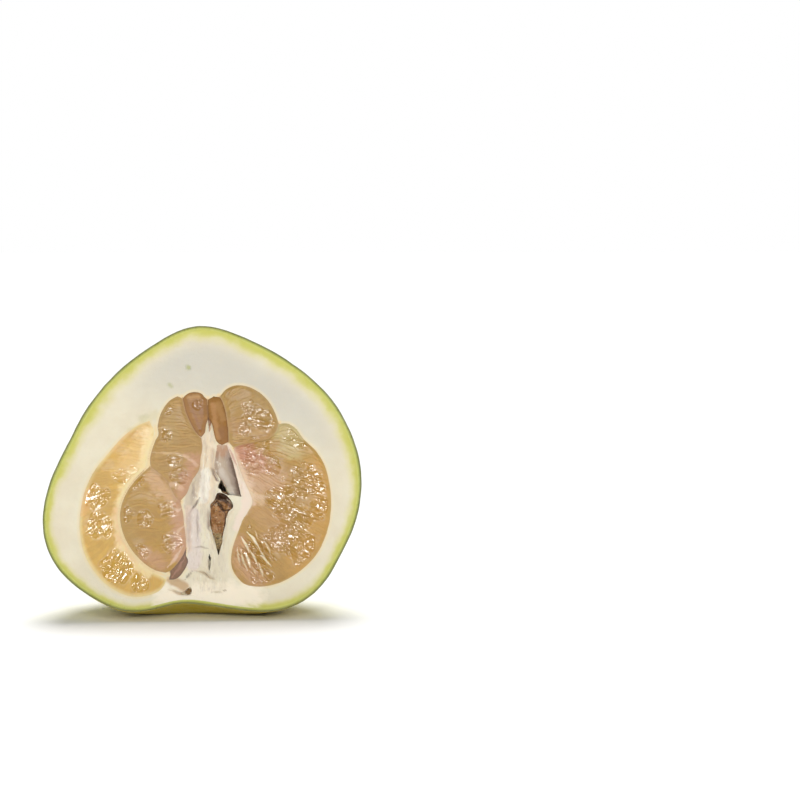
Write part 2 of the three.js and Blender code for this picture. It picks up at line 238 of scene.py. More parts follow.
def fruit_point(around, back, inset):
    """Points of the fruit's outside, or an inset below it: the angle on the face, then towards the back."""
    back = back + 0 * around
    way = np.stack([np.cos(back) * np.cos(around), np.cos(back) * np.sin(around), np.sin(back)], -1)
    from_stem = np.arccos(np.clip(way[..., 1], -1, 1))
    level = np.maximum(np.hypot(way[..., 0], way[..., 2]), 1e-9)
    side = way[..., 0] / level
    right = outline_radius(math.pi / 2 - from_stem)
    left = outline_radius(math.pi / 2 + from_stem)
    turn = np.arctan2(way[..., 2], way[..., 0])
    furrow = np.cos(FURROWS * turn) * np.exp(-((from_stem / NECK_ANGLE) ** 4))
    off_axis = np.minimum(1, 2 * from_stem / NECK_ANGLE)
    radius = ((right + left) / 2 + (right - left) / 2 * side) * (1 + BULGE * np.sin(2 * back))
    radius = radius - FURROW_DEPTH * furrow * (off_axis * np.sin(back)) ** 2
    point = way * (radius - inset)[..., None]
    away = np.hypot(point[..., 0] - DIMPLE_U, point[..., 2] - DIMPLE_D)
    rise = DIMPLE_DEPTH * np.exp(-(away**2) / (2 * DIMPLE_RADIUS**2))
    point[..., 1] += np.where(point[..., 1] > 0, 0, rise)
    return settled(point, inset)


def settled(point, inset):
    """Presses the base flat where it would sink below the surface it stands on."""
    height = point[..., 1] * math.cos(LEAN) - point[..., 2] * math.sin(LEAN) + FACE_MIDDLE[2] - inset
    kept = np.where(height <= -SETTLE, 0, (height + SETTLE) ** 2 / (4 * SETTLE))
    lift = np.where(height >= SETTLE, 0, kept - height)
    point[..., 1] += lift * math.cos(LEAN)
    point[..., 2] -= lift * math.sin(LEAN)
    return point


def place(points):
    """From the fruit's axes (u, w, d) in millimetres to the shared frame in metres."""
    u, w, d = np.moveaxis(np.asarray(points, float), -1, 0)
    y = d * math.cos(LEAN) + w * math.sin(LEAN)
    z = w * math.cos(LEAN) - d * math.sin(LEAN)
    return (np.stack([u, y, z], -1) + FACE_MIDDLE) * MM


def unplace(points):
    x, y, z = np.moveaxis(np.asarray(points, float) / MM - FACE_MIDDLE, -1, 0)
    d = y * math.cos(LEAN) - z * math.sin(LEAN)
    w = y * math.sin(LEAN) + z * math.cos(LEAN)
    return np.stack([x, w, d], -1)


# Meshes

def grid_faces(rows, columns, wrap=False, start=0):
    """Quads over rows of points, each row closed into a ring where wrap is set."""
    width = columns if wrap else columns - 1
    row, column = np.meshgrid(np.arange(rows - 1), np.arange(width), indexing="ij")
    following = (column + 1) % columns
    corners = [row * columns + column, row * columns + following,
               (row + 1) * columns + following, (row + 1) * columns + column]
    return start + np.stack(corners, -1).reshape(-1, 4)


def store(mesh, values):
    """Keeps values for the material at each corner: a number, or a colour of four."""
    for key, value in values.items():
        value = np.asarray(value, np.float32)
        if value.size == 4 * len(mesh.vertices):
            attribute = mesh.attributes.new(key, "FLOAT_COLOR", "POINT")
            attribute.data.foreach_set("color", value.ravel())
        else:
            attribute = mesh.attributes.new(key, "FLOAT", "POINT")
            attribute.data.foreach_set("value", value.ravel())


def make_piece(name, points, faces, material, values=None, smooth_angle=50):
    """A mesh on the shared frame from points in the fruit's axes, with values stored for its material."""
    mesh = bpy.data.meshes.new(name)
    mesh.from_pydata(place(points).tolist(), [], [list(map(int, face)) for face in faces])
    store(mesh, values or {})
    work = bmesh.new()
    work.from_mesh(mesh)
    bmesh.ops.remove_doubles(work, verts=work.verts, dist=2e-6)
    bmesh.ops.recalc_face_normals(work, faces=work.faces)
    work.to_mesh(mesh)
    work.free()
    mesh.shade_smooth()
    mesh.set_sharp_from_angle(angle=math.radians(smooth_angle))
    piece = bpy.data.objects.new(name, mesh)
    bpy.context.scene.collection.objects.link(piece)
    if material:
        mesh.materials.append(material)
    return piece


def cut_out(piece, cutters):
    """Takes the cutters out of a piece and removes them."""
    group = bpy.data.collections.new("cutters")
    bpy.context.scene.collection.children.link(group)
    for cutter in cutters:
        group.objects.link(cutter)
    modifier = piece.modifiers.new("pockets", "BOOLEAN")
    modifier.operation = "DIFFERENCE"
    modifier.operand_type = "COLLECTION"
    modifier.collection = group
    modifier.solver = "MANIFOLD"
    bpy.context.view_layer.update()
    cut = bpy.data.meshes.new_from_object(piece.evaluated_get(bpy.context.evaluated_depsgraph_get()))
    piece.modifiers.clear()
    piece.data = cut
    for cutter in cutters:
        bpy.data.objects.remove(cutter)
    bpy.data.collections.remove(group)


def pocket_cutter(rim):
    """A straight-sided cutter for a segment's pocket, with that rim on the face."""
    count = len(rim)
    near = np.column_stack([rim, np.full(count, CUTTER_FRONT)])
    far = np.column_stack([rim, np.full(count, POCKET_DEPTH)])
    faces = grid_faces(2, count, wrap=True).tolist() + [range(count), range(count, 2 * count)]
    return make_piece("pocket", np.concatenate([near, far]), faces, None)


# Stains, painted light and painted shade, laid on like strokes of paint

def paint(u, w, strokes):
    """What the strokes cover at each place: red, green, blue and how much; soft ones fray more."""
    du = noise(flat(u, w), 1.9, 61) + 0.6 * noise(flat(u, w), 0.8, 63)
    dw = noise(flat(u, w), 1.9, 62) + 0.6 * noise(flat(u, w), 0.8, 64)
    painted = np.zeros(u.shape + (4,))
    for tone, strength, half_width, soft, line in strokes:
        fray = min(2, 0.3 * soft)
        away, along = line_distance(u + fray * du, w + fray * dw, line)
        slim = 1 if soft > 1 else np.sin(math.pi * np.clip(along, 0.12, 0.88))
        cover = (strength * smoothstep(half_width + soft, half_width, away / slim))[..., None]
        painted = painted * (1 - cover) + np.array(colour(*tone)) * cover
    painted[..., :3] /= np.maximum(painted[..., 3:], 1e-6)
    return painted


def painted_over(stain_and_painted_light, tone, share):
    """Stains, painted light and painted shade, with another colour laid over them."""
    share = share[..., None]
    cover = stain_and_painted_light[..., 3:] * (1 - share) + share
    tint = stain_and_painted_light[..., :3] * stain_and_painted_light[..., 3:] * (1 - share) + np.array(tone[:3]) * share
    return np.concatenate([tint / np.maximum(cover, 1e-6), cover], axis=-1)


def ridges(u, w, lines):
    """How far the lines stand out, each as a rounded ridge that fades at its ends."""
    height = np.zeros_like(u)
    for half_width, high, line in lines:
        away, along = line_distance(u, w, line)
        ends = np.sin(math.pi * np.clip(along, 0.06, 0.94))
        height = np.maximum(height, high * np.exp(-((away / half_width) ** 2)) * ends)
    return height


def inside(u, w, outline):
    """True within a closed outline on the face."""
    within = np.zeros(np.shape(u), bool)
    for (a, b), (c, e) in zip(outline, outline[1:] + outline[:1]):
        crosses = (w < b) != (w < e)
        within ^= crosses & (u < (c - a) * (w - b) / (e - b if e != b else 1) + a)
    return within


# Where the segments are, from the CAD

def rim_of(node):
    """The corners of a CAD segment's rim, in order, in the fruit's axes."""
    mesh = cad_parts[node].data
    points = unplace([v.co for v in mesh.vertices])
    keys = [tuple(np.round(p, 2)) for p in points]
    on_rim = {key for key in keys if abs(key[2] - RIM_DEPTH) < 0.015}
    neighbours = {key: set() for key in on_rim}
    for edge in mesh.edges:
        a, b = (keys[i] for i in edge.vertices)
        if a in on_rim and b in on_rim and a != b:
            neighbours[a].add(b)
            neighbours[b].add(a)
    path = [min(on_rim)]
    while True:
        onward = [n for n in neighbours[path[-1]] if n not in path]
        if not onward:
            return np.array(path)[:, :2]
        path.append(min(onward, key=lambda n: math.dist(n, path[-1])))


def cad_edges(node):
    """A segment's two edges from its first tip to its second, the one by the peel first."""
    rim = rim_of(node)
    first, second = (np.argmin(np.hypot(*(rim - tip).T)) for tip in SEGMENTS[node]["tips"])
    rim = np.roll(rim, -first, axis=0)
    second = (second - first) % len(rim)
    one_way = rim[: second + 1]
    other_way = np.concatenate([rim[:1], rim[:second - 1:-1]])
    edges = [curve_through(edge, EDGE_POINTS) for edge in (one_way, other_way)]
    return sorted(edges, key=lambda edge: -np.abs(edge[:, 0] - CORE_U).mean())


def close_up(edges):
    """Moves neighbouring edges together until only the membrane that the photo shows is left between."""
    closed = {}
    for node, pair in edges.items():
        others = [(name, np.concatenate(other)) for name, other in edges.items() if name != node]
        moved = []
        for edge in pair:
            shift = np.zeros_like(edge)
            for name, points in others:
                wanted = THICK_MEMBRANE if "left_outer" in node + name else THIN_MEMBRANE
                towards = points[None] - edge[:, None]
                gap = np.linalg.norm(towards, axis=-1)
                nearest = gap.argmin(axis=1)
                rows = np.arange(len(edge))
                near = gap[rows, nearest]
                step = np.clip(near - wanted, 0, 2) / 2 * smoothstep(3.2, 2.0, near)
                shift += towards[rows, nearest] / near[:, None] * step[:, None]
            moved.append(edge + shift)
        tips = [(moved[0][k] + moved[1][k]) / 2 for k in (0, -1)]
        for edge in moved:
            edge[0], edge[-1] = tips
        closed[node] = moved
    return closed


def edges_of(node, count):
    """A segment's two edges in the visual, with that many points each."""
    pair = [curve_through(edge[::3], count) for edge in EDGES[node]]
    if node == "segment_left_sliver":
        middle = (pair[0] + pair[1]) / 2
        pair = [middle + (edge - middle) * SLIVER_WIDER for edge in pair]
    return pair


EDGES = close_up({node: cad_edges(node) for node in SEGMENTS})


# Materials

def colour(red, green, blue):
    """A colour from its everyday 0 to 255 values."""
    share = np.array([red, green, blue]) / 255
    linear = np.where(share <= 0.04045, share / 12.92, ((share + 0.055) / 1.055) ** 2.4)
    return (*linear.tolist(), 1)


class Finish:
    """A material, and short ways to add nodes to it."""

    def __init__(self, name, **settings):
        self.material = bpy.data.materials.new(name)
        self.material.use_nodes = True
        self.tree = self.material.node_tree
        self.shader = self.tree.nodes["Principled BSDF"]
        for key, value in settings.items():
            self.shader.inputs[key.replace("_", " ")].default_value = value
        self.place_in = self.node("ShaderNodeTexCoord").outputs["Object"]

    def node(self, kind, inputs=None, **properties):
        made = self.tree.nodes.new(kind)
        for key, value in properties.items():
            setattr(made, key, value)
        for key, value in (inputs or {}).items():
            if isinstance(value, bpy.types.NodeSocket):
                self.tree.links.new(value, made.inputs[key])
            else:
                made.inputs[key].default_value = value
        return made

    def value(self, name):
        return self.node("ShaderNodeAttribute", attribute_name=name).outputs["Fac"]

    def with_stains_and_painted_light(self, tint, name="stain_and_painted_light"):
        """The tint under the stains, painted light and painted shade that the mesh carries."""
        stain_and_painted_light = self.node("ShaderNodeAttribute", attribute_name=name)
        return self.mix(stain_and_painted_light.outputs["Alpha"], tint, stain_and_painted_light.outputs["Color"])

    def noise(self, size, detail=3, roughness=0.5, distortion=0, taller=1):
        """Noise from 0 to 1 whose lumps are about that many millimetres across, and so much taller."""
        spot = self.place_in
        if taller != 1:
            stretch = {"Vector": spot, "Scale": (1, 1, 1 / taller)}
            spot = self.node("ShaderNodeMapping", stretch).outputs["Vector"]
        inputs = {"Vector": spot, "Scale": 1 / (size * MM), "Detail": detail,
                  "Roughness": roughness, "Distortion": distortion}
        return self.node("ShaderNodeTexNoise", inputs).outputs["Fac"]

    def spots(self, size):
        """How far from the middle of the nearest of cells about that many millimetres apart."""
        inputs = {"Vector": self.place_in, "Scale": 1 / (size * MM)}
        return self.node("ShaderNodeTexVoronoi", inputs).outputs["Distance"]

    def ramp(self, value, low, high, to_low=0, to_high=1):
        inputs = {"Value": value, "From Min": low, "From Max": high, "To Min": to_low, "To Max": to_high}
        return self.node("ShaderNodeMapRange", inputs, interpolation_type="SMOOTHSTEP").outputs["Result"]

    def sums(self, operation, first, second):
        return self.node("ShaderNodeMath", {0: first, 1: second}, operation=operation).outputs[0]

    def mix(self, share, first, second, blend="MIX"):
        inputs = {0: share, 6: first, 7: second}
        return self.node("ShaderNodeMix", inputs, data_type="RGBA", blend_type=blend).outputs[2]

    def bump(self, height, depth, under=None):
        """A bump that deep in millimetres, over another one where given."""
        inputs = {"Height": height, "Strength": 1.0, "Distance": depth * MM}
        if under:
            inputs["Normal"] = under
        return self.node("ShaderNodeBump", inputs).outputs["Normal"]

    def finish(self, **links):
        for key, socket in links.items():
            self.tree.links.new(socket, self.shader.inputs[key.replace("_", " ")])
        return self.material


def peel_material():
    """Yellow-green peel, dotted with oil glands, paler where it is cut through, and yellower and lighter
    towards the bottom, partly its own colour and partly painted light.
    """
    look = Finish("peel", Specular_IOR_Level=0.5, Coat_Weight=0.12, Coat_Roughness=0.3)
    deep = look.value("inset")
    tint = look.mix(look.ramp(look.noise(26, 4), 0.35, 0.65), colour(172, 170, 52), colour(196, 184, 60))
    tint = look.mix(look.ramp(look.noise(5, 3), 0.45, 0.75, 0, 0.45), tint, colour(150, 154, 44))
    glands = look.ramp(look.spots(1.25), 0.12, 0.34, 0.55, 0)
    tint = look.mix(glands, tint, colour(124, 130, 30))
    scuffs = look.ramp(look.noise(1.7, 6, 0.7), 0.68, 0.76, 0, 0.6)
    tint = look.mix(look.sums("MULTIPLY", scuffs, look.ramp(look.noise(18, 2), 0.5, 0.6)), tint,
                    colour(168, 150, 92))
    # yellower and lighter towards the bottom: partly the peel's own yellower base, partly painted light from
    # the floor
    tint = look.mix(look.value("low"), tint, colour(214, 190, 54))
    tint = look.mix(look.value("rim"), tint, colour(92, 100, 34))
    cut_line = look.mix(look.ramp(deep, 0.7, 1.3), tint, colour(162, 168, 62))
    cut_line = look.mix(look.ramp(deep, 1.1, 2.0), cut_line, colour(202, 202, 98))
    pits = look.bump(look.ramp(look.spots(1.25), 0.05, 0.42), 0.14)
    grain = look.bump(look.noise(0.7, 4), 0.05, pits)
    rough = look.ramp(look.noise(3, 3), 0.3, 0.7, 0.36, 0.52)
    return look.finish(Base_Color=cut_line, Normal=grain, Roughness=rough)


def scar_material():
    """Dry, cracked, greyish brown wood."""
    look = Finish("stem_scar", Roughness=0.8)
    tint = look.mix(look.ramp(look.noise(0.9, 5, 0.6), 0.35, 0.65), colour(96, 78, 46), colour(148, 128, 84))
    return look.finish(Base_Color=tint, Normal=look.bump(look.noise(0.5, 4), 0.2))


def pith_material():
    """White spongy pith, green by the peel and yellower and wetter by the flesh, with painted shade towards
    the top.
    """
    look = Finish("pith", Subsurface_Weight=0.22, Subsurface_Scale=0.003, Specular_IOR_Level=0.35)
    look.shader.inputs["Subsurface Radius"].default_value = (1.0, 0.75, 0.5)
    wander = look.ramp(look.noise(7, 4), 0.3, 0.7, -0.7, 0.7)
    from_peel = look.sums("MULTIPLY", look.value("from_peel"), look.value("narrow"))
    from_peel = look.sums("ADD", from_peel, wander)
    tint = look.mix(look.ramp(look.noise(16, 3), 0.3, 0.7), colour(231, 223, 199), colour(224, 214, 189))
    # painted shade: the pith greyer towards the top and upper right
    tint = look.mix(look.value("shade"), tint, colour(203, 199, 187))
    tint = look.mix(look.ramp(look.noise(1.1, 5, 0.6), 0.5, 0.8, 0, 0.25), tint, colour(222, 208, 180))
    tint = look.mix(look.ramp(from_peel, 1.0, 5.5, 0.85, 0), tint, colour(216, 209, 140))
    tint = look.mix(look.ramp(from_peel, 0.1, 3.0, 0.95, 0), tint, colour(200, 198, 96))
    tint = look.mix(look.ramp(look.value("from_flesh"), 0.0, 1.8, 0.6, 0), tint, colour(238, 216, 166))
    tint = look.mix(look.value("between"), tint, colour(238, 208, 154))
    tint = look.mix(look.value("touching"), tint, colour(190, 148, 98))
    tint = look.with_stains_and_painted_light(tint)
    fibres = look.ramp(look.noise(0.8, 4, 0.6, taller=5), 0.5, 0.68, 0, 0.5)
    tint = look.mix(look.sums("MULTIPLY", look.value("core"), fibres), tint, colour(204, 190, 172))
    lint = look.ramp(look.noise(1.0, 4, 0.6, taller=4), 0.42, 0.3, 0, 0.5)
    tint = look.mix(look.sums("MULTIPLY", look.value("core"), lint), tint, colour(250, 246, 236))
    fine = look.bump(look.noise(0.9, 5, 0.65), 0.14)
    lumps = look.bump(look.noise(4.5, 3), 0.3, fine)
    rough = look.ramp(look.value("from_flesh"), 0.2, 2.5, 0.42, 0.68)
    return look.finish(Base_Color=tint, Normal=lumps, Roughness=rough)


def flesh_material(name, facts):
    """Juice sacs: honey-coloured and translucent, glossy where they are wet, with stains, painted highlights
    and painted light from the mesh.
    """
    look = Finish(name, Subsurface_Weight=0.35, Subsurface_Scale=0.004, IOR=1.5,
                  Specular_IOR_Level=facts["gloss"])
    look.shader.inputs["Subsurface Radius"].default_value = (1.0, 0.6, 0.25)
    grain = facts["grain"]
    red, green, blue = facts["colour"]
    deep = colour(red * 0.93, green * 0.9, blue * 0.82)
    shadow = colour(red * 0.8, green * 0.74, blue * 0.6)
    bright = colour(min(255, red * 1.05), min(255, green * 1.04), min(255, blue * 1.02))
    tint = look.mix(look.value("sac"), deep, bright)
    tint = look.mix(look.ramp(look.noise(5, 4), 0.3, 0.7, 0.1, 0.75), tint, colour(red, green, blue))
    tint = look.mix(look.ramp(look.noise(1.7, 4, 0.6), 0.46, 0.64, 0, 0.6 * grain), tint, deep)
    pale_seam = colour(min(255, red * 1.1), min(255, green * 1.12), min(255, blue * 1.2))
    tint = look.mix(look.ramp(look.value("seam"), 0.02, 0.14, 0.3 * grain, 0), tint, pale_seam)
    tint = look.mix(look.value("edge"), tint, colour(*facts["edge"]))
    tint = look.with_stains_and_painted_light(tint)
    tint = look.mix(look.ramp(look.noise(1.3, 4, 0.65), 0.54, 0.72, 0, 0.35 * grain), tint, pale_seam)
    tint = look.mix(look.ramp(look.noise(1.2, 4, 0.65, 0.3), 0.56, 0.76, 0, 0.35 * grain), tint, shadow)
    soaked = colour(red * 0.84, green * 0.78, blue * 0.5)
    tint = look.mix(look.ramp(look.value("dry"), 0.9, 0.3, 0, 0.22), tint, soaked)
    rough = look.ramp(look.value("dry"), 0.4, 0.85, 0.08, 0.6)
    return look.finish(Base_Color=tint, Normal=look.bump(look.noise(1.8, 2, 0.4), 0.05), Roughness=rough)


def tissue_material():
    """Dried brown tissue, with darker and greyer stains from the mesh."""
    look = Finish("dried_tissue", Roughness=0.45, Subsurface_Weight=0.1, Subsurface_Scale=0.002,
                  Coat_Weight=0.15)
    tint = look.with_stains_and_painted_light(look.mix(look.noise(1.6, 3), colour(146, 104, 58), colour(172, 130, 80)))
    tint = look.mix(look.ramp(look.noise(0.8, 4, 0.6), 0.5, 0.68, 0, 0.75), tint, colour(72, 44, 24))
    tint = look.mix(look.ramp(look.noise(0.9, 3), 0.6, 0.74, 0, 0.6), tint, colour(214, 190, 150))
    return look.finish(Base_Color=tint, Normal=look.bump(look.noise(0.7, 4), 0.3))


def membrane_material():
    """Thin moist skin, nearly white."""
    look = Finish("membrane", Roughness=0.42, Subsurface_Weight=0.3, Subsurface_Scale=0.002, Coat_Weight=0.2)
    tint = look.mix(look.ramp(look.noise(2.5, 4), 0.35, 0.7), colour(244, 232, 216), colour(236, 216, 200))
    return look.finish(Base_Color=tint, Normal=look.bump(look.noise(0.7, 4), 0.1))


def floor_material():
    """Matt white studio floor with the faintest unevenness."""
    look = Finish("studio_floor", Roughness=0.9, Specular_IOR_Level=0.1)
    tint = look.mix(look.noise(90, 2), colour(255, 255, 254), colour(253, 253, 252))
    return look.finish(Base_Color=tint)


# The peel

SCAR_MIDDLE = (-0.6, 69.6, 8.2)
SCAR_ROUND = 72
# radius and height of each ring of the scar
SCAR_PROFILE = [
    (3.4, -2.2), (3.5, 0.1), (3.1, 0.45), (2.5, 0.3), (2.1, 0.05), (1.7, 0.35), (1.1, 0.55),
    (0.5, 0.35), (0.12, 0.2),
]


def make_peel():
    """The peel as a shell: fine outside, with the cut's rim in front, and plain where the pith hides it."""
    around = np.arange(SKIN_ROUND) / SKIN_ROUND * 2 * math.pi
    rows = [(back, 0) for back in np.linspace(math.pi / 2, 0, SKIN_DEEP)]
    rows += [(0, inset) for inset in (0.12, 0.3, 0.6, 1.0, 1.5, SKIN)]
    rows += [(back, SKIN) for back in np.linspace(0, math.pi / 2, HIDDEN_DEEP)[1:]]
    points = []
    values = {"inset": [], "rim": [], "low": []}
    for back, inset in rows:
        ground = fruit_point(around, back, 0)
        rough = 0.16 * noise(ground, 11, 1) + 0.08 * noise(ground, 3.1, 2)
        sink = (PEEL_SINK - rough) * (1 - inset / SKIN)
        points.append(fruit_point(around, back, inset + sink))
        rim = 0.9 * smoothstep(0.02, 0.0, back) * smoothstep(1.5, 0.6, inset)
        values["inset"].append(np.full(SKIN_ROUND, inset))
        values["rim"].append(np.full(SKIN_ROUND, rim))
        # yellower and lighter towards the bottom: partly its own colour, partly painted light from the floor
        values["low"].append(0.8 * smoothstep(-48, -58, ground[:, 1]))
    faces = grid_faces(len(rows), SKIN_ROUND, wrap=True)
    peel = make_piece("peel", np.concatenate(points), faces, peel_material(), values, smooth_angle=60)
    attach(peel, "root")
    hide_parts("skin")


def make_stem_scar():
    """The dry button where the stalk was, in the peel behind the top of the cut."""
    around = np.arange(SCAR_ROUND) / SCAR_ROUND * 2 * math.pi
    rings = []
    for radius, high in SCAR_PROFILE:
        reach = radius * (1 + 0.05 * np.sin(5 * around) + 0.03 * np.sin(11 * around + radius))
        aside = reach * np.cos(around)
        back = reach * np.sin(around)
        height = high + 0.12 * noise(np.stack([aside, back, np.full(SCAR_ROUND, high)], -1), 0.9, 71)
        rings.append(SCAR_MIDDLE + np.stack([aside, height - 0.06 * back, back], -1))
    first = np.arange(SCAR_ROUND)
    last = first + SCAR_ROUND * (len(rings) - 1)
    faces = grid_faces(len(rings), SCAR_ROUND, wrap=True).tolist() + [first, last]
    scar = make_piece("stem_scar", np.concatenate(rings), faces, scar_material())
    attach(scar, "root")


# The pith and the open core

# half width, depth or height, and the line that each crease or ridge follows
CREASES = [
    (0.45, 1.0, [(0.4, -8), (-1.8, -11.5), (-4.2, -14.8)]),
    (0.4, 0.5, [(-0.4, -15), (-0.8, -19), (-0.4, -24), (-0.3, -29.5)]),
    (0.35, 0.6, [(-2.5, -31), (0.6, -30.6), (4, -31.4)]),
    (0.45, 1.2, [(-3, -41), (2, -42.4), (4.6, -44.6), (7, -45.4)]),
    (0.4, 1.1, [(-4, -42), (-5.2, -43.8), (-6.6, -45.4)]),
    (0.5, 1.0, [(-14, -49.8), (-9.4, -51.5), (-5, -52.1), (-1, -52.8)]),
    (0.3, 0.7, [(5.5, -51.2), (9, -51), (12, -50.3)]),
    (0.5, 0.9, [(4.4, -12), (4.2, -17), (4.6, -22), (6, -27)]),
    (0.4, 0.6, [(-4.6, -16), (-5, -24), (-4.4, -33), (-4.6, -39)]),
    (0.5, 1.4, [(5.6, 5.4), (6.4, 2.6), (8.2, -0.4)]),
    (0.3, 0.4, [(2.6, 20), (3.4, 14), (3.0, 8), (1.4, 2)]),
    (0.5, 0.6, [(12.6, -18), (11.9, -22), (10.8, -27), (9.4, -33)]),
    (0.3, 0.4, [(7.4, -40), (9, -44), (10.4, -49)]),
    (0.6, 0.8, [(-0.6, 3.4), (-2.2, -1), (-2.6, -6), (-0.4, -9)]),
]
RIDGES = [
    (0.45, 0.9, [(12.7, 16.8), (14.4, 12.2), (15.9, 8), (17.6, 3.4), (19.2, -1.8), (20.6, -7.8)]),
    (0.9, 0.6, [(-3.4, -16), (-2.8, -24), (-2.4, -31), (-2.6, -39)]),
    (0.8, 0.6, [(1.6, -13), (2, -20), (2.2, -28), (3, -34)]),
    (1.0, 0.7, [(4.4, 21), (4.6, 14), (4.2, 6), (3.6, -1), (3.0, -7)]),
    (0.6, 0.9, [(5.6, -14), (5.4, -20), (6.8, -27), (8.4, -34)]),
    (1.0, 0.8, [(-12.6, -45.4), (-10, -46.8), (-7.4, -48.6)]),
    (0.6, 0.7, [(-3, -39.8), (1, -40.6), (4.6, -42.8), (7, -44)]),
    (0.6, 0.6, [(7, -39), (6, -43.4), (8.4, -47.8)]),
    (0.7, 0.6, [(17.4, -11), (15.8, -16), (14.4, -22), (12.6, -29), (11.2, -36)]),
]
# the outlines of the holes in the core, and how deep they are; the emptied segment's floor slopes
HOLLOWS = {
    "emptied": [
        (8.4, 15.8), (12.6, 15.8), (14, 11.8), (15.4, 7.6), (16.8, 2.4), (18, -2.8), (18.9, -7.2),
        (19.1, -8), (18.4, -7.9), (15.8, -7.5), (13.4, -7), (11.8, -3.6), (10.2, -0.6), (8.8, 1.4),
        (7.4, 3.6), (6.9, 6.6), (7.6, 11.4)],
    "gap": [
        (10, -0.3), (9.1, -2.2), (8.6, -3.8), (9.8, -4.6), (10.6, -6), (12, -6.6), (13.7, -7.1),
        (12.3, -4.6), (11.2, -2.2)],
    "split": [
        (8, -6.5), (10, -6.2), (12.4, -7.2), (14.9, -10.4), (15.2, -13), (13.2, -14.8), (12.1, -18),
        (11.8, -21), (10.7, -25), (10.3, -28.4), (9.5, -31.4), (8.7, -34.5), (7.7, -31), (7, -28),
        (6.1, -25), (5, -20.4), (5.2, -14.6), (5.1, -11.4), (7, -9.4)],
    "slit": [(4.5, -33.8), (5.1, -36), (5, -38.6), (4.4, -41.4), (4, -38.8), (4.2, -36)],
    "torn_corner": [
        (-8.6, -51.6), (-6.2, -50.2), (-4.6, -48.9), (-3.6, -49.8), (-3.8, -51.8), (-5.8, -52.4)],
    "strip": [(4.6, 34), (5.5, 31), (5.7, 27), (5.4, 22.8), (4.8, 21.6), (4.3, 26), (4.1, 30)],
}
HOLLOW_DEPTHS = {"gap": 9, "split": 6.5, "slit": 2.4, "torn_corner": 2.6, "strip": 1.0}

# red, green and blue, strength, half width, softness, and the line each stroke follows
PITH_STROKES = [
    # painted light: a paler band along the bottom of the pith, as light thrown up from the floor
    ((250, 238, 216), 0.9, 3, 7, [(-14, -54), (-2, -55), (12, -55), (22, -52)]),
    ((232, 214, 186), 0.9, 2.6, 3, [(3.6, 18), (4.6, 8), (3.6, 0), (2, -8)]),
    # painted shade, in the next two strokes: a grey panel left of the column and a darker line along the
    # crease in it
    ((200, 184, 162), 0.75, 1.7, 1.4, [(-0.8, 3), (-3, -4), (-4.6, -12)]),
    ((193, 179, 162), 0.5, 0.7, 1, [(-2, -2), (-3.2, -7), (-3.6, -11)]),
    ((240, 234, 219), 0.9, 1.6, 1.4, [(3.4, 3), (2.6, -4), (1.6, -9)]),
    # painted shade, in the next eight strokes: grey, lilac and brown lines along the creases, a grey-lilac
    # band left of the column and a dark slot by the emptied segment
    ((156, 140, 126), 0.85, 0.25, 0.5, [(0.4, -8), (-1.8, -11.5), (-4.2, -14.8)]),
    ((223, 209, 204), 0.7, 2.4, 1.6, [(-3, -16), (-2.6, -26), (-2.4, -38)]),
    ((177, 161, 153), 0.6, 0.3, 0.6, [(-0.6, -14), (-1, -19), (-0.6, -26)]),
    ((187, 170, 155), 0.6, 0.2, 0.5, [(-2.5, -31), (0.6, -30.6), (4, -31.4)]),
    ((195, 179, 164), 0.5, 0.3, 0.7, [(4, -14), (4, -20), (5.2, -26)]),
    ((181, 160, 134), 0.7, 0.35, 0.6, [(5.6, 5.4), (6.4, 2.6), (8.2, -0.4)]),
    ((112, 96, 84), 0.85, 0.3, 0.4, [(7.2, 1.4), (8.2, -0.2), (9, -0.9)]),
    ((150, 132, 112), 0.7, 0.25, 0.5, [(-3.4, -41.4), (-5.2, -43.8), (-6.6, -45.4)]),
    ((200, 170, 132), 0.95, 1.4, 1.4, [(-12.4, -45.6), (-9.6, -47), (-7, -48.6)]),
    # painted shade, in the next four strokes: lines along the creases near the bottom
    ((190, 164, 128), 0.6, 0.4, 0.6, [(-14, -49.8), (-9.4, -51.5), (-6.4, -51.9)]),
    ((203, 183, 155), 0.6, 0.3, 0.6, [(-3, -41), (2, -42.4), (4.6, -44.6), (7, -45.4)]),
    ((150, 134, 96), 0.8, 0.2, 0.4, [(10.4, -50.8), (12, -50.3)]),
    ((195, 179, 147), 0.6, 0.2, 0.5, [(5.5, -51.2), (10, -50.9)]),
    ((242, 220, 201), 0.85, 0.5, 1.4, [(13, 15), (15.9, 8), (18.4, 1.6), (20.6, -6)]),
    ((238, 218, 201), 0.8, 1.4, 1.6, [(20, -3), (22, -9), (20.4, -15), (17.6, -22)]),
    ((201, 145, 129), 0.6, 0.2, 0.6, [(14, 13.6), (15.6, 10), (17, 6.4)]),
    ((230, 207, 188), 0.6, 0.6, 1.2, [(-5, -13), (-5.4, -22), (-4.8, -32)]),
    ((170, 174, 110), 0.75, 0.3, 1.2, [(-4.9, 51.5), (-4.5, 51.3)]),
    ((178, 178, 124), 0.6, 0.3, 1.4, [(-12.8, 43.2), (-12.4, 42.8)]),
    ((203, 197, 162), 0.5, 0.6, 2.2, [(-25.6, 28.2), (-24.4, 29.2)]),
    ((211, 199, 155), 0.4, 0.8, 2.6, [(-30, 22), (-20, 30)]),
]
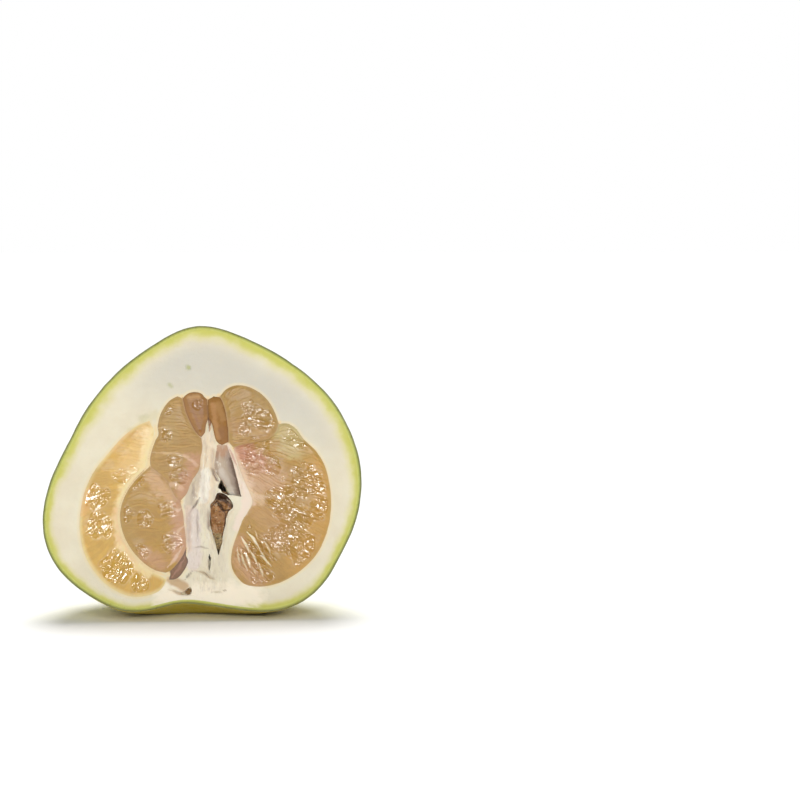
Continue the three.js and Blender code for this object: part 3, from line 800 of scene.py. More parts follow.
HOLLOW_STROKES = [
    # painted shade: the hollows greyer and browner than the pith
    ((192, 174, 152), 1, 20, 1, [(10, 4), (12, 4)]),
    ((184, 146, 118), 0.95, 3.6, 4, [(9, 15.4), (13, 15.4)]),
    # painted shade, in the next three strokes: the emptied segment's floor grey to the right, darkest under
    # its right edge, and paler to the left
    ((166, 148, 134), 0.9, 1.6, 2.6, [(14.6, 10), (16.6, 3), (18.6, -5)]),
    ((112, 90, 76), 0.85, 0.4, 1.6, [(14.8, 9.4), (17, 2), (19, -6)]),
    ((210, 198, 184), 0.8, 0.7, 1.2, [(10, 4), (11.6, 0.6), (14.4, -4)]),
    ((150, 124, 104), 0.5, 0.4, 1.2, [(8, 12), (7.4, 6), (8.2, 2.6)]),
    ((206, 198, 192), 0.8, 0.5, 0.8, [(13.4, -6.2), (16, -6.8)]),
    # painted shadow in the emptied segment's lower right corner
    ((60, 44, 36), 0.95, 0.25, 0.4, [(16.6, -7.9), (19.2, -8.2), (18.8, -5.6)]),
    # painted shadow: the deep gap black
    ((52, 34, 24), 1, 1.5, 1, [(9.7, -2), (10.4, -4.6), (12.2, -6)]),
    ((168, 134, 98), 1, 3.6, 1.5, [(9, -9), (13, -12), (8.6, -15), (8.4, -20)]),
    ((84, 54, 34), 0.9, 1.2, 1, [(8.6, -7.2), (12, -7.8), (14.6, -11)]),
    ((190, 176, 150), 1, 2.2, 1.6, [(8.4, -26), (8.6, -32)]),
    ((84, 70, 56), 0.9, 0.3, 0.6, [(8.5, -31.6), (8.7, -34.6)]),
    # painted shadow at the slit's upper end
    ((62, 50, 42), 0.9, 0.8, 0.8, [(4.6, -34), (5, -36.6)]),
    ((176, 166, 148), 0.8, 0.8, 1, [(4.9, -38.4), (4.5, -41)]),
    # painted shade: brown inside the torn corner
    ((148, 116, 74), 1, 1.8, 1, [(-6, -51), (-4.4, -50.6)]),
    ((150, 108, 74), 1, 1.4, 1, [(5, 33), (5.2, 27), (4.9, 22)]),
    ((206, 172, 140), 0.8, 0.3, 0.8, [(5.2, 24), (4.9, 21.6)]),
]


def core_relief(u, w):
    """How far the face sinks or stands, in millimetres, round the torn core."""
    frayed = flat(u, w)
    u = u + 0.45 * noise(frayed, 2.2, 11)
    w = w + 0.45 * noise(frayed, 2.2, 12)
    return sum(ridges(u, w, [crease]) for crease in CREASES) - ridges(u, w, RIDGES)


def core_share(u, w):
    """1 in the core's white column and 0 away from it."""
    away, _ = line_distance(u, w, [(4.5, 20), (3, 5), (1.5, -10), (3.5, -30), (4, -44)])
    return smoothstep(12, 5, away)


def face_depth(u, w):
    """The pith's own unevenness on the cut."""
    spot = flat(u, w)
    gentle = 0.14 * noise(spot, 16, 5) + 0.07 * noise(spot, 4.5, 6) + 0.03 * noise(spot, 1.4, 7)
    core = core_share(u, w)
    folds = 0.5 * noise(flat(u * 1.8, w * 0.45), 4, 8) + 0.22 * noise(flat(u * 1.6, w * 0.7), 1.6, 9)
    return 0.12 + gentle + core * (0.35 + folds) + core_relief(u, w)


def pith_values(mesh, rims):
    """What the pith's material needs to know at each corner."""
    u, w, d = unplace([v.co for v in mesh.vertices]).T
    from_peel = outline_radius(np.arctan2(w, u)) - SKIN - np.hypot(u, w)
    aways = np.sort([line_distance(u, w, np.concatenate([rim, rim[:1]]))[0] for rim in rims], axis=0)
    # painted shade: darker towards the top and upper right, away from the peel
    shade = 0.8 * smoothstep(15, 52, w + 0.3 * u) * smoothstep(1, 12, from_peel)
    core = core_share(u, w)
    narrow = 1.35 - 0.55 * smoothstep(-55, 30, w)
    stain_and_painted_light = paint(u, w, PITH_STROKES)
    # painted shade: grey over the core where its face sinks deeper, as shade in its folds
    folds = 0.5 * core * smoothstep(0.3, 1.3, d) * (from_peel > 8)
    stain_and_painted_light = painted_over(stain_and_painted_light, colour(176, 160, 150), folds)
    sunken = np.zeros(u.shape, bool)
    floor = face_depth(u, w) + 0.12
    for name, outline in HOLLOWS.items():
        middle = np.mean(outline, axis=0)
        wider = [tuple(middle + (np.array(p) - middle) * 1.02) for p in outline]
        sunken |= inside(u, w, outline) | (inside(u, w, wider) & (d > floor))
    hollow = paint(u, w, HOLLOW_STROKES)
    stain_and_painted_light = np.where(sunken[:, None], hollow, stain_and_painted_light)
    between = 0.85 * smoothstep(2.0, 0.9, aways[1])
    touching = smoothstep(0.75, 0.45, aways[1])
    store(mesh, {
        "from_peel": from_peel, "from_flesh": aways[0], "shade": shade, "stain_and_painted_light": stain_and_painted_light, "core": core,
        "narrow": narrow, "between": between, "touching": touching})


def make_pith():
    """The cut face of the pith, with pockets for the segments and the holes of the torn core."""
    around = np.arange(PITH_ROUND) / PITH_ROUND * 2 * math.pi
    edge = fruit_point(around, 0, SKIN + PITH_GAP)
    rings = []
    for share in np.arange(PITH_OUT + 1) / PITH_OUT:
        ring = edge * share
        ring[:, 2] = face_depth(ring[:, 0], ring[:, 1]) * smoothstep(1, 0.97, share)
        rings.append(ring)
    for back in np.linspace(0, math.pi / 2, HIDDEN_DEEP)[1:]:
        rings.append(fruit_point(around, back, SKIN + PITH_GAP))
    faces = grid_faces(len(rings), PITH_ROUND, wrap=True)
    pith = make_piece("pith_flesh", np.concatenate(rings), faces, pith_material())
    rims = []
    for node in SEGMENTS:
        outer, inner = edges_of(node, POCKET_POINTS)
        rims.append(np.concatenate([outer, inner[-2:0:-1]]))
    pockets = [pocket_cutter(rim) for rim in rims]
    holes = [hollow_cutter(name, outline) for name, outline in HOLLOWS.items()]
    cut_out(pith, pockets + holes)
    pith.data.shade_smooth()
    pith.data.set_sharp_from_angle(angle=math.radians(40))
    pith_values(pith.data, rims)
    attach(pith, "root")
    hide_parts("pith")


def hollow_cutter(name, outline):
    """A ragged bowl to cut out of the core; the emptied segment's floor slopes down to the right."""
    edge = curve_through(outline, 121, closed=True)[:-1]
    edge += 0.16 * np.stack([noise(flat(*edge.T), 1.3, 21), noise(flat(*edge.T), 1.3, 22)], -1)
    middle = edge.mean(axis=0)
    rings = [np.column_stack([edge, np.full(len(edge), CUTTER_FRONT)])]
    for turn in np.linspace(0, math.pi / 2, 16):
        ring = middle + (edge - middle) * math.cos(turn) ** 0.45
        if name == "emptied":
            slope = (ring[:, 0] - 8) + (8 - ring[:, 1]) * 0.35
            deep = (0.6 + 0.2 * np.clip(slope, 0, 16)) * math.sin(turn) ** 0.35
        else:
            deep = HOLLOW_DEPTHS[name] * math.sin(turn) ** 0.6
        lumps = 0.3 * noise(flat(*ring.T), 2.4, 23) * math.sin(turn)
        rings.append(np.column_stack([ring, deep + lumps]))
    rings[-1][:, :2] = middle
    rings[-1][:, 2] = rings[-1][:, 2].mean()
    faces = grid_faces(len(rings), len(edge), wrap=True).tolist() + [range(len(edge))]
    return make_piece("hollow", np.concatenate(rings), faces, None)


# The juicy segments

# the middle and radius of places where many beads glint
WET_SPOTS = [
    (27, 12, 7), (24, 7, 5), (45, 19, 6), (49, -2, 8), (44, -18, 8), (46, -31, 8), (38, -9, 8), (24, -36, 7),
    (34, 5, 5), (54, -14, 6), (36, -28, 8), (28, -44, 5), (25, 30, 6), (31, 27, 5), (21, 23, 3),
    (-47, -7, 6), (-45, -20, 6), (-38, -40, 8), (-27, -47, 5), (-36, 2, 3), (-15, 21, 3), (-11, 9, 4),
    (-9, 2, 4.5), (-14, 32, 3), (-29, 1, 5), (-24, -18, 4), (-33, -16, 4), (-14, -13, 4), (-12, -28, 5),
    (-26, -33, 4), (-1, 34, 2.4), (0.6, 22, 1.4), (9.8, 17, 1.3),
]
# the middles of single drops that glint brightest
DROPS = [
    (21.6, 6.1), (24.8, 10.1), (25.6, 6.5), (29.2, 13.7), (27.6, 8.1), (23.6, 4.1), (43.6, 17.5),
    (47.6, 6.9), (24, 35.3), (23.2, 32.1), (30, 28.9), (-10, 6.5), (-8.8, 3.7), (-10.4, -3), (-0.9, 35.4),
    (0.7, 33.4), (0.8, 35.6), (1, 21.6), (-41.9, -5), (-43.1, -19), (-47.9, -11.4), (-17.5, -12.2),
    (-24.3, -17), (-16, -26.2), (22.8, -22.2), (45.6, -34.2), (43.6, -28.2), (34.4, -13.8), (38, 0.2),
    (50, -6), (40, -22), (33, -36),
]
# half width, height and line of sacs that stand out
FLESH_RIDGES = [
    (0.8, 0.7, [(18.8, -26.2), (21.4, -29.6), (23.8, -33)]),
    (0.8, 0.7, [(22.6, -32), (25, -36), (26.6, -40)]),
    (0.8, 0.7, [(22.4, -24.2), (25.4, -28.4), (27.6, -32.4)]),
    (0.8, 0.7, [(27.8, -32), (30, -36.6), (32.2, -40.6)]),
    (0.7, 0.6, [(19, -33.4), (20, -37.6), (21.6, -41.6)]),
    (0.7, 0.6, [(21, -34), (23, -38.4), (24.4, -42.6)]),
    (0.6, 0.5, [(25.2, -24), (26.4, -27.4)]),
    (0.7, 0.6, [(27, -38), (28.2, -42), (29, -44.6)]),
    (0.7, 0.5, [(16.8, -30), (17.4, -34.6), (17.8, -38)]),
    (0.7, 0.5, [(28.6, -27), (31, -31), (32.6, -35)]),
    (0.8, 0.4, [(18.4, 17), (22, 18), (25, 19)]),
    (0.8, 0.4, [(23, 11.6), (26, 13), (29.6, 14.6)]),
    (0.8, 0.4, [(22, 6), (25, 7.4), (28, 9)]),
    (0.8, 0.4, [(21.6, 2.6), (25, 3.8), (28, 4.6)]),
    (0.8, 0.4, [(-11.6, -1), (-8, -2.6), (-5.6, -1.8)]),
    (0.8, 0.4, [(-13, 2.8), (-10, 4.4), (-7, 5)]),
    (0.8, 0.4, [(-8, -22), (-10.4, -24.6), (-12.6, -26)]),
    (0.8, 0.4, [(-6.6, -28), (-9.6, -31.6), (-12.4, -33)]),
]
# strokes like those on the pith
FLESH_STROKES = {
    "segment_left_outer": [
        ((236, 200, 138), 0.55, 2, 5, [(-23, 24), (-28, 14), (-34, 4)]),
        ((244, 220, 166), 0.75, 1.1, 3,
         [(-23, 22), (-24.6, 8), (-33, -4), (-37, -16), (-34.6, -30), (-24, -42)]),
        ((194, 154, 74), 0.55, 3, 6, [(-45, 0), (-45, -14)]),
        ((232, 178, 126), 0.45, 1, 3, [(-36.4, -14), (-34.6, -26), (-29, -35)]),
        ((232, 182, 120), 0.5, 1, 3.4, [(-40, 15), (-34, 21)]),
        ((232, 176, 112), 0.5, 0.8, 3, [(-51, -6), (-52.4, -14)]),
    ],
    "segment_left_upper": [
        ((216, 186, 134), 0.7, 0.2, 0.8, [(-18.6, 23.8), (-15, 23.9), (-10.4, 23.4)]),
        ((214, 182, 136), 0.6, 0.2, 0.8, [(-21.2, 12.6), (-14, 12.2), (-7.2, 10.9), (-0.8, 6.9)]),
        ((194, 144, 114), 0.7, 1, 4, [(-2.6, 9), (-5, 1), (-7.6, -6)]),
        ((220, 184, 156), 0.55, 0.2, 1.1, [(-7, 11), (-3, 8.6), (-1, 6.4)]),
        ((222, 186, 156), 0.6, 0.3, 1.4, [(-17, -3), (-12, -2), (-8, -4)]),
        ((172, 142, 84), 0.5, 1, 4, [(-14, 30), (-12, 18)]),
    ],
    "segment_left_lower": [
        ((214, 176, 140), 0.6, 1.6, 4, [(-21, 2), (-17, -4), (-12, -7)]),
        ((198, 150, 120), 0.75, 1.6, 5, [(-8.6, -12), (-8, -24), (-9, -34)]),
        ((232, 204, 178), 0.6, 0.2, 0.9, [(-14, -12), (-10, -14), (-7.4, -13)]),
        ((228, 196, 168), 0.6, 0.2, 0.9, [(-12, -26), (-9, -23), (-7, -21)]),
        ((230, 200, 176), 0.6, 0.3, 0.8, [(-14.6, -40), (-11, -36), (-7.4, -30)]),
        ((174, 140, 74), 0.5, 1.4, 5, [(-30, -8), (-34, -18), (-31, -28)]),
        ((204, 156, 126), 0.5, 1.4, 4, [(-24, -34), (-18, -38)]),
    ],
    "segment_top_left": [
        ((148, 98, 58), 0.6, 0.3, 0.9, [(-3.4, 34), (-0.6, 26), (1.4, 21.6)]),
        ((200, 158, 106), 0.6, 0.3, 1.4, [(-4, 37.6), (0, 37.8)]),
        ((142, 96, 56), 0.5, 0.3, 0.9, [(0.6, 34), (1.4, 27)]),
    ],
    "segment_top_right": [
        ((178, 136, 84), 0.6, 0.8, 1.6, [(9, 34), (11, 28)]),
        ((148, 104, 64), 0.6, 1.2, 2, [(11, 22), (11.4, 17)]),
        # painted light: lighter along the segment's left side
        ((196, 150, 102), 0.5, 0.4, 1.4, [(6.6, 34), (7.6, 25), (8.8, 19)]),
    ],
    "segment_right_upper": [
        ((168, 136, 76), 0.5, 1.6, 5, [(27, 36), (31, 30)]),
        ((178, 134, 80), 0.6, 1.6, 5, [(16, 24), (20, 20), (28, 20)]),
        ((204, 172, 112), 0.3, 0.3, 1.6, [(16, 19), (22, 19.4), (29, 22)]),
    ],
    "segment_right": [
        ((196, 148, 62), 0.75, 2.4, 7, [(54, 8), (57.6, -6), (55, -22), (46, -38)]),
        ((192, 172, 116), 0.85, 3.4, 4, [(37, 24), (43, 19)]),
        ((194, 172, 112), 0.8, 1.6, 4, [(43, 20), (44, 12), (40, 14)]),
        ((178, 142, 60), 0.5, 1.2, 3, [(48, 14), (52, 10)]),
        ((190, 128, 100), 0.85, 2.6, 5, [(20, 12), (24, 8), (27, 7)]),
        ((198, 154, 116), 0.7, 2.4, 6, [(24, 2), (28, -2), (34, 0)]),
        ((228, 196, 166), 0.85, 0.4, 3, [(15.4, 12), (19, 4), (22.6, -3), (24, -9), (21.4, -14)]),
        ((226, 196, 160), 0.6, 0.8, 3, [(23, -6), (28, -10)]),
        ((194, 150, 104), 0.45, 1, 8, [(28, -16), (36, -20), (33, -28)]),
        ((220, 186, 150), 0.55, 0.3, 1.2, [(26, -8.6), (32, -8), (38, -8.4)]),
        ((198, 152, 116), 0.6, 2, 5, [(17.4, -30), (20, -38), (25, -44)]),
        # painted highlights, in the next eleven strokes: pale lines along the crests of the loose sacs,
        # partly the pale colour of their skins
        ((250, 238, 208), 0.9, 0.32, 0.5, [(18.8, -26.2), (21, -29.8), (22.6, -33.6)]),
        ((250, 238, 208), 0.85, 0.26, 0.5, [(22.8, -32.4), (25, -36), (26.4, -39.6)]),
        ((250, 238, 208), 0.9, 0.3, 0.5, [(21.6, -24), (24.8, -27.6), (27.4, -32)]),
        ((250, 238, 208), 0.8, 0.26, 0.5, [(27.4, -32.4), (29.6, -36.4), (32.4, -39.8)]),
        ((244, 228, 192), 0.85, 0.26, 0.5, [(18.6, -32.4), (19.6, -37), (21.8, -41.6)]),
        ((250, 238, 208), 0.9, 0.34, 0.5, [(20.6, -33.4), (22.2, -37), (22.8, -40.4)]),
        ((244, 228, 192), 0.7, 0.14, 0.4, [(25.2, -23.6), (26.6, -27.4)]),
        ((240, 222, 186), 0.7, 0.2, 0.5, [(17.2, -31), (17.4, -35), (18.4, -39)]),
        ((240, 222, 186), 0.7, 0.2, 0.5, [(28.8, -27), (31, -31), (32.4, -34.6)]),
        ((240, 222, 186), 0.6, 0.16, 0.5, [(24.4, -40.6), (25.4, -43.6)]),
        ((244, 228, 192), 0.75, 0.24, 0.5, [(26.6, -38), (28.2, -42), (28.8, -44.6)]),
        # painted highlights, in the next eight strokes: pinkish white glints and sheen lines on the pink
        # patch's sacs
        ((236, 196, 178), 0.6, 0.1, 0.7, [(24.4, 12.4), (26, 13), (27.6, 13.8)]),
        ((244, 214, 196), 0.75, 0.2, 0.6, [(21.3, 6), (22.3, 6.4)]),
        ((248, 222, 206), 0.8, 0.2, 0.6, [(24.4, 10), (25.5, 9.7)]),
        ((244, 214, 196), 0.75, 0.2, 0.6, [(25.2, 6.6), (26.3, 7)]),
        ((244, 214, 196), 0.7, 0.2, 0.6, [(28.8, 13.5), (29.9, 14)]),
        ((248, 222, 206), 0.75, 0.2, 0.6, [(27.3, 8), (28.4, 8.5)]),
        ((240, 206, 186), 0.7, 0.2, 0.6, [(23.2, 4), (24.2, 4.5)]),
        ((240, 210, 190), 0.6, 0.1, 0.5, [(18.8, 17), (22, 18), (24, 18.8)]),
    ],
    "segment_left_sliver": [
        # painted highlight: a pale pink line along the sliver's upper left edge
        ((176, 128, 104), 0.6, 0.2, 0.8, [(-6.4, -35), (-9, -40), (-12.6, -44.4)]),
    ],
}


def segment_grid(node):
    """Rows of places across a segment's face, and how far each is along it, across it and from its edge."""
    outer, inner = edges_of(node, 240)
    along = max(24, int(run_along((outer + inner) / 2)[-1] / ROW_STEP))
    across = max(10, int(np.linalg.norm(outer - inner, axis=1).max() / SAC_STEP))
    outer, inner = edges_of(node, along + 1)
    middle_line = (outer + inner) / 2
    share = np.linspace(0, 1, across + 1)[None, :, None]
    places = outer[:, None] * (1 - share) + inner[:, None] * share
    inward = places - middle_line[:, None]
    reach = 1 + RIM_OVERLAP / np.maximum(np.linalg.norm(inward, axis=-1), 0.6)
    places = middle_line[:, None] + inward * reach[..., None]
    width = np.linalg.norm(outer - inner, axis=1)[:, None]
    off = share[..., 0] * width
    run = run_along(middle_line)[:, None] + np.zeros_like(off)
    from_edge = np.minimum(np.minimum(off, width - off), np.minimum(run, run[-1] - run))
    return places[..., 0], places[..., 1], run, off, from_edge


def juice_sacs(u, w, run, off, seed, loose):
    """The long sacs: each one's own value, how far from a seam, and how far they stand out."""
    spot = flat(u, w)
    wander = 1.4 * noise(spot, 9, seed + 1) + 0.4 * noise(spot, 3, seed + 2)
    x = (run + wander) / SAC_WIDTH
    y = (off + 2.5 * noise(spot, 7, seed + 3)) / SAC_LENGTH
    near, second, own = cells(x, y, seed)
    seam = second - near
    high = np.sqrt(smoothstep(0, 0.45, seam)) * (0.14 + 0.2 * own + 0.55 * loose)
    return own, seam, high + 0.035 * noise(flat(run / 0.9, off / 5), 1, seed + 6)


def wet_beads(u, w, seed, beaded):
    """Where the flesh is wet, from 0 to 1, and how far its lumps and the beads on them stand out."""
    spot = flat(u, w)
    wet = 0.35 * smoothstep(0, 0.5, noise(spot, 7, seed + 9))
    waver = 0.3 * noise(spot, 3.4, seed + 10)
    for at_u, at_w, radius in WET_SPOTS:
        away = np.hypot(u - at_u, w - at_w) + radius * waver
        wet = np.maximum(wet, smoothstep(1.4 * radius, 0.4 * radius, away))
    bead, _, chance = cells(u / BEAD + 0.3 * noise(spot, 3, seed + 7), w / BEAD, seed + 8)
    high = beaded * (0.02 + 0.2 * wet * smoothstep(0.45, 0.6, chance))
    lumps = 0.16 * noise(spot, 5, seed + 4) + 0.02 * noise(spot, 1.4, seed + 5)
    return wet, lumps + high * np.clip(1 - (bead / 0.72) ** 2, 0, 1)


def loose_share(u, w):
    """1 where whole sacs stand free of the cut, in the big segment's lower corner."""
    return smoothstep(13, 3, np.hypot((u - 25) * 1.1, w + 34))


def with_back(values):
    """Values over a segment's face, with each row's last and first one again for the back of its body."""
    return np.concatenate([values, values[:, -1:], values[:, :1]], axis=1)


def make_segment(node, facts):
    """One segment: a wet face of long juice sacs that lie across it, on a plain body in its pocket."""
    u, w, run, off, from_edge = segment_grid(node)
    seed = facts["seed"] * 10
    loose = loose_share(u, w) if node == "segment_right" else 0
    own, seam, high = juice_sacs(u, w, run, off, seed, loose)
    wet, lumps = wet_beads(u, w, seed, facts["beaded"])
    relief = facts["sacs"] * high + lumps
    inner = smoothstep(0.8, 2.4, from_edge)
    for at_u, at_w in DROPS:
        away = np.hypot(u - at_u, w - at_w)
        under = smoothstep(1.4 * DROP, DROP, away) * inner
        drop = 0.2 + DROP_HEIGHT * np.clip(1 - (away / DROP) ** 2, 0, 1)
        relief = relief * (1 - under) + drop * under
        wet = np.maximum(wet, under)
    dome = smoothstep(0, 4 if node == "segment_left_outer" else 2.4, from_edge)
    depth = RIM_SINK - dome * (0.2 + relief) - ridges(u, w, FLESH_RIDGES)
    points = with_back(np.stack([u, w, depth], -1))
    points[:, -2:, 2] = BODY_DEPTH
    faces = grid_faces(*points.shape[:2], wrap=True)
    soft = 2.6 if node == "segment_left_outer" else 0.9
    values = {
        "sac": own, "seam": seam, "edge": 0.8 * smoothstep(soft, 0.1, from_edge), "dry": 1 - wet * inner,
        "stain_and_painted_light": paint(u, w, FLESH_STROKES[node])}
    values = {key: with_back(value) for key, value in values.items()}
    name = node.replace("segment", "flesh")
    piece = make_piece(name, points.reshape(-1, 3), faces, flesh_material(name, facts), values)
    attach(piece, "root")
    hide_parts(node)


def make_segments():
    for node, facts in SEGMENTS.items():
        make_segment(node, USUAL_LOOKS | facts)


# the tissue's left, right, top and bottom, its step and its back
TISSUE_SIDES = (3.6, 16.6, -5.4, -35.6)
TISSUE_STEP = 0.2
TISSUE_BACK = 5.8
TISSUE_STROKES = [
    ((159, 113, 66), 1, 4, 2, [(8, -14), (8, -22)]),
    ((60, 34, 17), 0.95, 1.3, 1.6, [(8.8, -7.4), (11.6, -8.4), (14.6, -11)]),
    ((206, 184, 150), 0.6, 0.15, 0.4, [(12.6, -9.4), (14.6, -10.6), (15.4, -12.4)]),
    ((206, 184, 150), 0.6, 0.15, 0.4, [(6, -11), (7.6, -12), (9.4, -11)]),
    ((206, 184, 150), 0.5, 0.2, 0.5, [(6.2, -24), (8.2, -25.4), (10.2, -24.6)]),
    ((52, 29, 14), 0.85, 0.4, 0.8, [(5.6, -12.4), (7.6, -10), (9.6, -11.6), (11, -14.4), (13.6, -14)]),
    ((121, 79, 44), 0.8, 0.5, 0.8, [(13, -11), (14, -12.6)]),
    ((188, 142, 87), 0.7, 0.3, 0.6, [(6.4, -12), (7.4, -13.6), (9, -12.6)]),
    ((58, 38, 23), 0.85, 0.15, 0.4, [(11.6, -15), (11.9, -18), (11.2, -22), (10.6, -25)]),
    ((175, 135, 97), 0.7, 0.5, 1, [(6.6, -21), (8, -22.6), (9.4, -21.8)]),
    ((165, 142, 98), 0.95, 2, 1.6, [(8.4, -27.4), (8.6, -31)]),
    ((92, 79, 51), 0.7, 0.15, 0.4, [(6.8, -26), (8.2, -27), (10, -26.4)]),
    ((92, 79, 51), 0.7, 0.15, 0.4, [(7.6, -29.6), (9.4, -29)]),
    ((67, 54, 39), 0.9, 0.2, 0.5, [(8.4, -30.6), (8.7, -34.4)]),
]


def make_tissue():
    """Crumpled brown tissue that fills the split, as a closed slab whose edges lie in the pith."""
    left, right, top, bottom = TISSUE_SIDES
    u, w = np.meshgrid(np.arange(left, right, TISSUE_STEP), np.arange(top, bottom, -TISSUE_STEP))
    spot = flat(u, w)
    outline = HOLLOWS["split"]
    away, _ = line_distance(u, w, outline + outline[:1])
    within = np.where(inside(u, w, outline), away, -away) + 0.35 * noise(spot, 1.3, 43)
    crumple = 0.9 * noise(spot, 1.9, 41) + 0.45 * noise(spot, 0.8, 42)
    knob = 0.9 * np.exp(-((np.hypot(u - 13.6, w + 12) / 1.5) ** 2))
    ends = 1.6 * smoothstep(-9.5, -6, w) + 1.4 * smoothstep(-27, -34, w)
    rim = 0.4 * smoothstep(1.6, 0.2, within) - 1.8 * smoothstep(0.4, -0.5, within)
    depth = 1.3 - rim + ends + crumple * smoothstep(-0.2, 1.2, within) - knob
    front = np.stack([u, w, np.clip(depth, 0.25, 5.4)], -1)
    back = np.stack([u, w, np.full_like(u, TISSUE_BACK)], -1)
    rows = np.concatenate([front, back[:, ::-1]], axis=1)
    height, width = u.shape
    faces = grid_faces(height, 2 * width, wrap=True).tolist()
    for row in (0, height - 1):
        start = row * 2 * width
        faces += [[start + k, start + k + 1, start + 2 * width - 2 - k, start + 2 * width - 1 - k]
                  for k in range(width - 1)]
    stain_and_painted_light = paint(rows[..., 0], rows[..., 1], TISSUE_STROKES)
    tissue = make_piece("tissue", rows.reshape(-1, 3), faces, tissue_material(), {"stain_and_painted_light": stain_and_painted_light})
    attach(tissue, "root")
    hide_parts("core_tissue")


# height above the cut, depth below it, and the line on the face
MEMBRANES = [
    (0.9, 3.5, [(12.6, 16.8), (14.2, 12.4), (15.8, 8), (17.4, 3.4), (18.9, -1.6), (19.8, -7.6)]),
    (0.4, 3.0, [(10.2, 0.2), (12.2, -2.8), (13.8, -6.4), (19.2, -8.3)]),
    (0.6, 3.0, [(-5.6, -12), (-5.9, -18), (-5.5, -25), (-5.1, -31)]),
    (0.8, 3.0, [(5, -13), (4.7, -20), (6.2, -26.4), (8, -33.6)]),
    (0.7, 3.0, [(16, -9.4), (15.6, -14), (13, -18), (12.4, -24), (11, -31)]),
    (0.9, 2.5, [(-3.6, -40.4), (0.6, -41), (4.6, -43.2), (7.4, -45)]),
    (0.5, 2.0, [(3.7, -33.6), (3.4, -37), (3.9, -42)]),
    (0.6, 2.5, [(6.2, 14), (6, 8), (6.6, 4), (8.6, -1.4), (8, -5.8)]),
    (0.6, 2.0, [(-13.6, -49), (-9.4, -50.8), (-5.6, -50)]),
]
MEMBRANE_HALF = 0.16
MEMBRANE_POINTS = 90
MEMBRANE_LEVELS = np.linspace(0, 1, 7)


def make_membranes():
    """Thin torn skins that stand out of the core, each a wavering strip."""
    ring = [(-1, level) for level in MEMBRANE_LEVELS] + [(1, level) for level in MEMBRANE_LEVELS[::-1]]
    cap = np.arange(len(ring))
    share = np.linspace(0, 1, MEMBRANE_POINTS)
    fade = np.sin(math.pi * np.clip(share, 0.02, 0.98)) ** 0.5
    points = []
    faces = []
    for k, (above, below, guide) in enumerate(MEMBRANES):
        line = curve_through(guide, MEMBRANE_POINTS)
        along = np.gradient(line, axis=0)
        across = np.stack([-along[:, 1], along[:, 0]], -1) / np.linalg.norm(along, axis=1)[:, None]
        torn = 0.35 * noise(flat(share * 12, np.full_like(share, k * 3.0)), 1, 51)
        strips = []
        for side, level in ring:
            depth = -above * fade * level + below * (1 - level)
            sway = 0.45 * noise(np.column_stack([line, depth]), 3, 52 + k) * level
            thick = side * MEMBRANE_HALF * (1.1 - level)
            strip = line + across * (sway + thick)[:, None]
            strips.append(np.column_stack([strip, depth - torn * level]))
        start = k * len(ring) * len(line)
        points.append(np.stack(strips, axis=1).reshape(-1, 3))
        faces += grid_faces(len(line), len(ring), wrap=True, start=start).tolist()
        faces += [start + cap, start + (len(line) - 1) * len(ring) + cap]
    membranes = make_piece("membranes", np.concatenate(points), faces, membrane_material(), smooth_angle=80)
    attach(membranes, "root")


# Studio

SENSOR = 36
LAMP_TARGET = (0, 0, 0.06)
CEILING_STRENGTH = 2.6
WINDOW_WATTS = 0.5
SPARKLE_AWAY = 1.08
SPARKLE_SIZE = 0.15
SPARKLES = [(-13, 16, 1.6), (13, 15, 1.6), (0, 31, 1.0)]  # degrees to the right and up, and watts


def make_camera():
    """A camera straight in front and a little above, with the fruit where the photo has it."""
    target = Vector(FACE_MIDDLE * MM)
    rise = math.radians(CAMERA_RISE)
    eye = target + CAMERA_AWAY * Vector((0, -math.cos(rise), math.sin(rise)))
    off_right = (PHOTO_MIDDLE - PHOTO_FRUIT[0]) * PHOTO_PIXEL
    off_up = (PHOTO_FRUIT[1] - PHOTO_MIDDLE) * PHOTO_PIXEL
    aim = target.copy()
    for _ in range(8):
        turn = (aim - eye).to_track_quat("-Z", "Y")
        aim = target + turn @ Vector((off_right, off_up, 0))
    camera = bpy.data.objects.new("camera", bpy.data.cameras.new("camera"))
    bpy.context.scene.collection.objects.link(camera)
    camera.location = eye
    camera.rotation_euler = turn.to_euler()
    camera.data.sensor_width = SENSOR
    camera.data.lens = SENSOR * (aim - eye).length / (2 * PHOTO_MIDDLE * PHOTO_PIXEL)
    camera.data.clip_end = 50
    bpy.context.scene.camera = camera


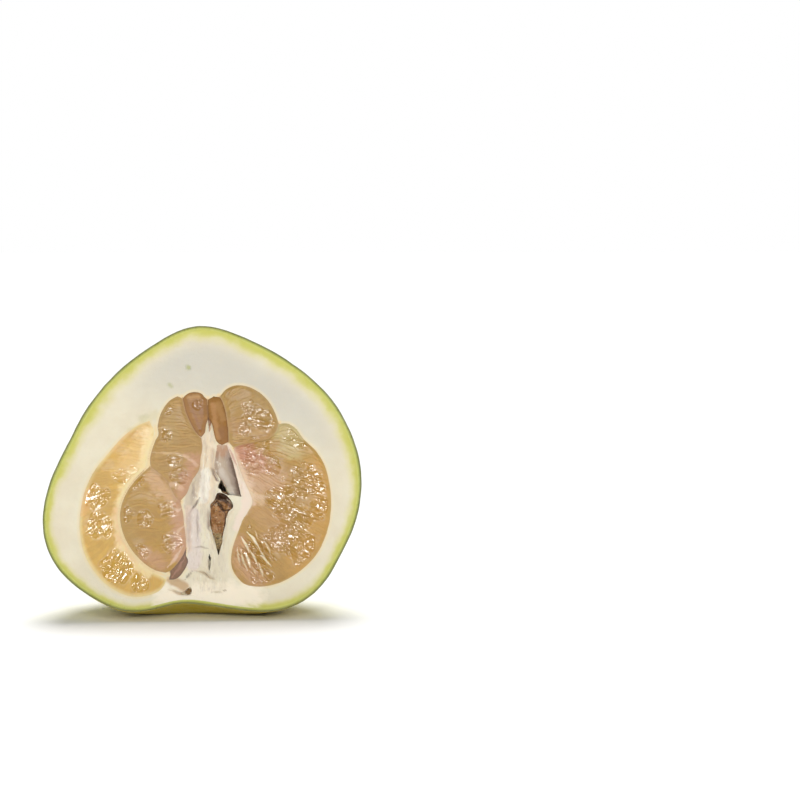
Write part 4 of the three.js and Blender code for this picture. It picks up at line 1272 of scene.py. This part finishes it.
def make_lamp(name, kind, where, energy, **settings):
    """A lamp that shines at the middle of the fruit."""
    light = bpy.data.lights.new(name, kind)
    light.energy = energy
    for key, value in settings.items():
        setattr(light, key, value)
    lamp = bpy.data.objects.new(name, light)
    bpy.context.scene.collection.objects.link(lamp)
    lamp.location = where
    lamp.rotation_euler = (Vector(LAMP_TARGET) - Vector(where)).to_track_quat("-Z", "Y").to_euler()


def make_world():
    """A white room: pure white where it is seen, and a little dimmer as a light."""
    world = bpy.data.worlds.new("studio")
    world.use_nodes = True
    nodes = world.node_tree.nodes
    path = nodes.new("ShaderNodeLightPath")
    strength = nodes.new("ShaderNodeMapRange")
    strength.inputs["To Min"].default_value = ROOM_LIGHT
    strength.inputs["To Max"].default_value = 1.0
    world.node_tree.links.new(path.outputs["Is Camera Ray"], strength.inputs["Value"])
    nodes["Background"].inputs["Color"].default_value = (1, 1, 1, 1)
    world.node_tree.links.new(strength.outputs["Result"], nodes["Background"].inputs["Strength"])
    bpy.context.scene.world = world


def make_studio():
    """A pale floor, soft light from above and the left, and small lamps that the wet beads mirror."""
    bpy.ops.mesh.primitive_plane_add(size=30, location=(0, 0, 0))
    floor = bpy.context.object
    floor.name = "floor"
    floor.data.materials.append(floor_material())
    make_world()
    make_lamp("ceiling", "SUN", (0.1, 0.6, 1.5), CEILING_STRENGTH, angle=math.radians(35))
    make_lamp("left_window", "AREA", (-0.9, -0.9, 0.2), WINDOW_WATTS, shape="DISK", size=0.5)
    for k, (aside, above, watts) in enumerate(SPARKLES):
        aside, above = math.radians(aside), math.radians(above)
        level = math.cos(above)
        way = Vector((math.sin(aside) * level, -math.cos(aside) * level, math.sin(above)))
        where = way * SPARKLE_AWAY + Vector(LAMP_TARGET)
        make_lamp(f"sparkle_{k + 1}", "AREA", where, watts, shape="DISK", size=SPARKLE_SIZE)
    bpy.context.scene.view_settings.view_transform = "Standard"


make_camera()
make_studio()
make_peel()
make_stem_scar()
make_pith()
make_segments()
make_tissue()
make_membranes()
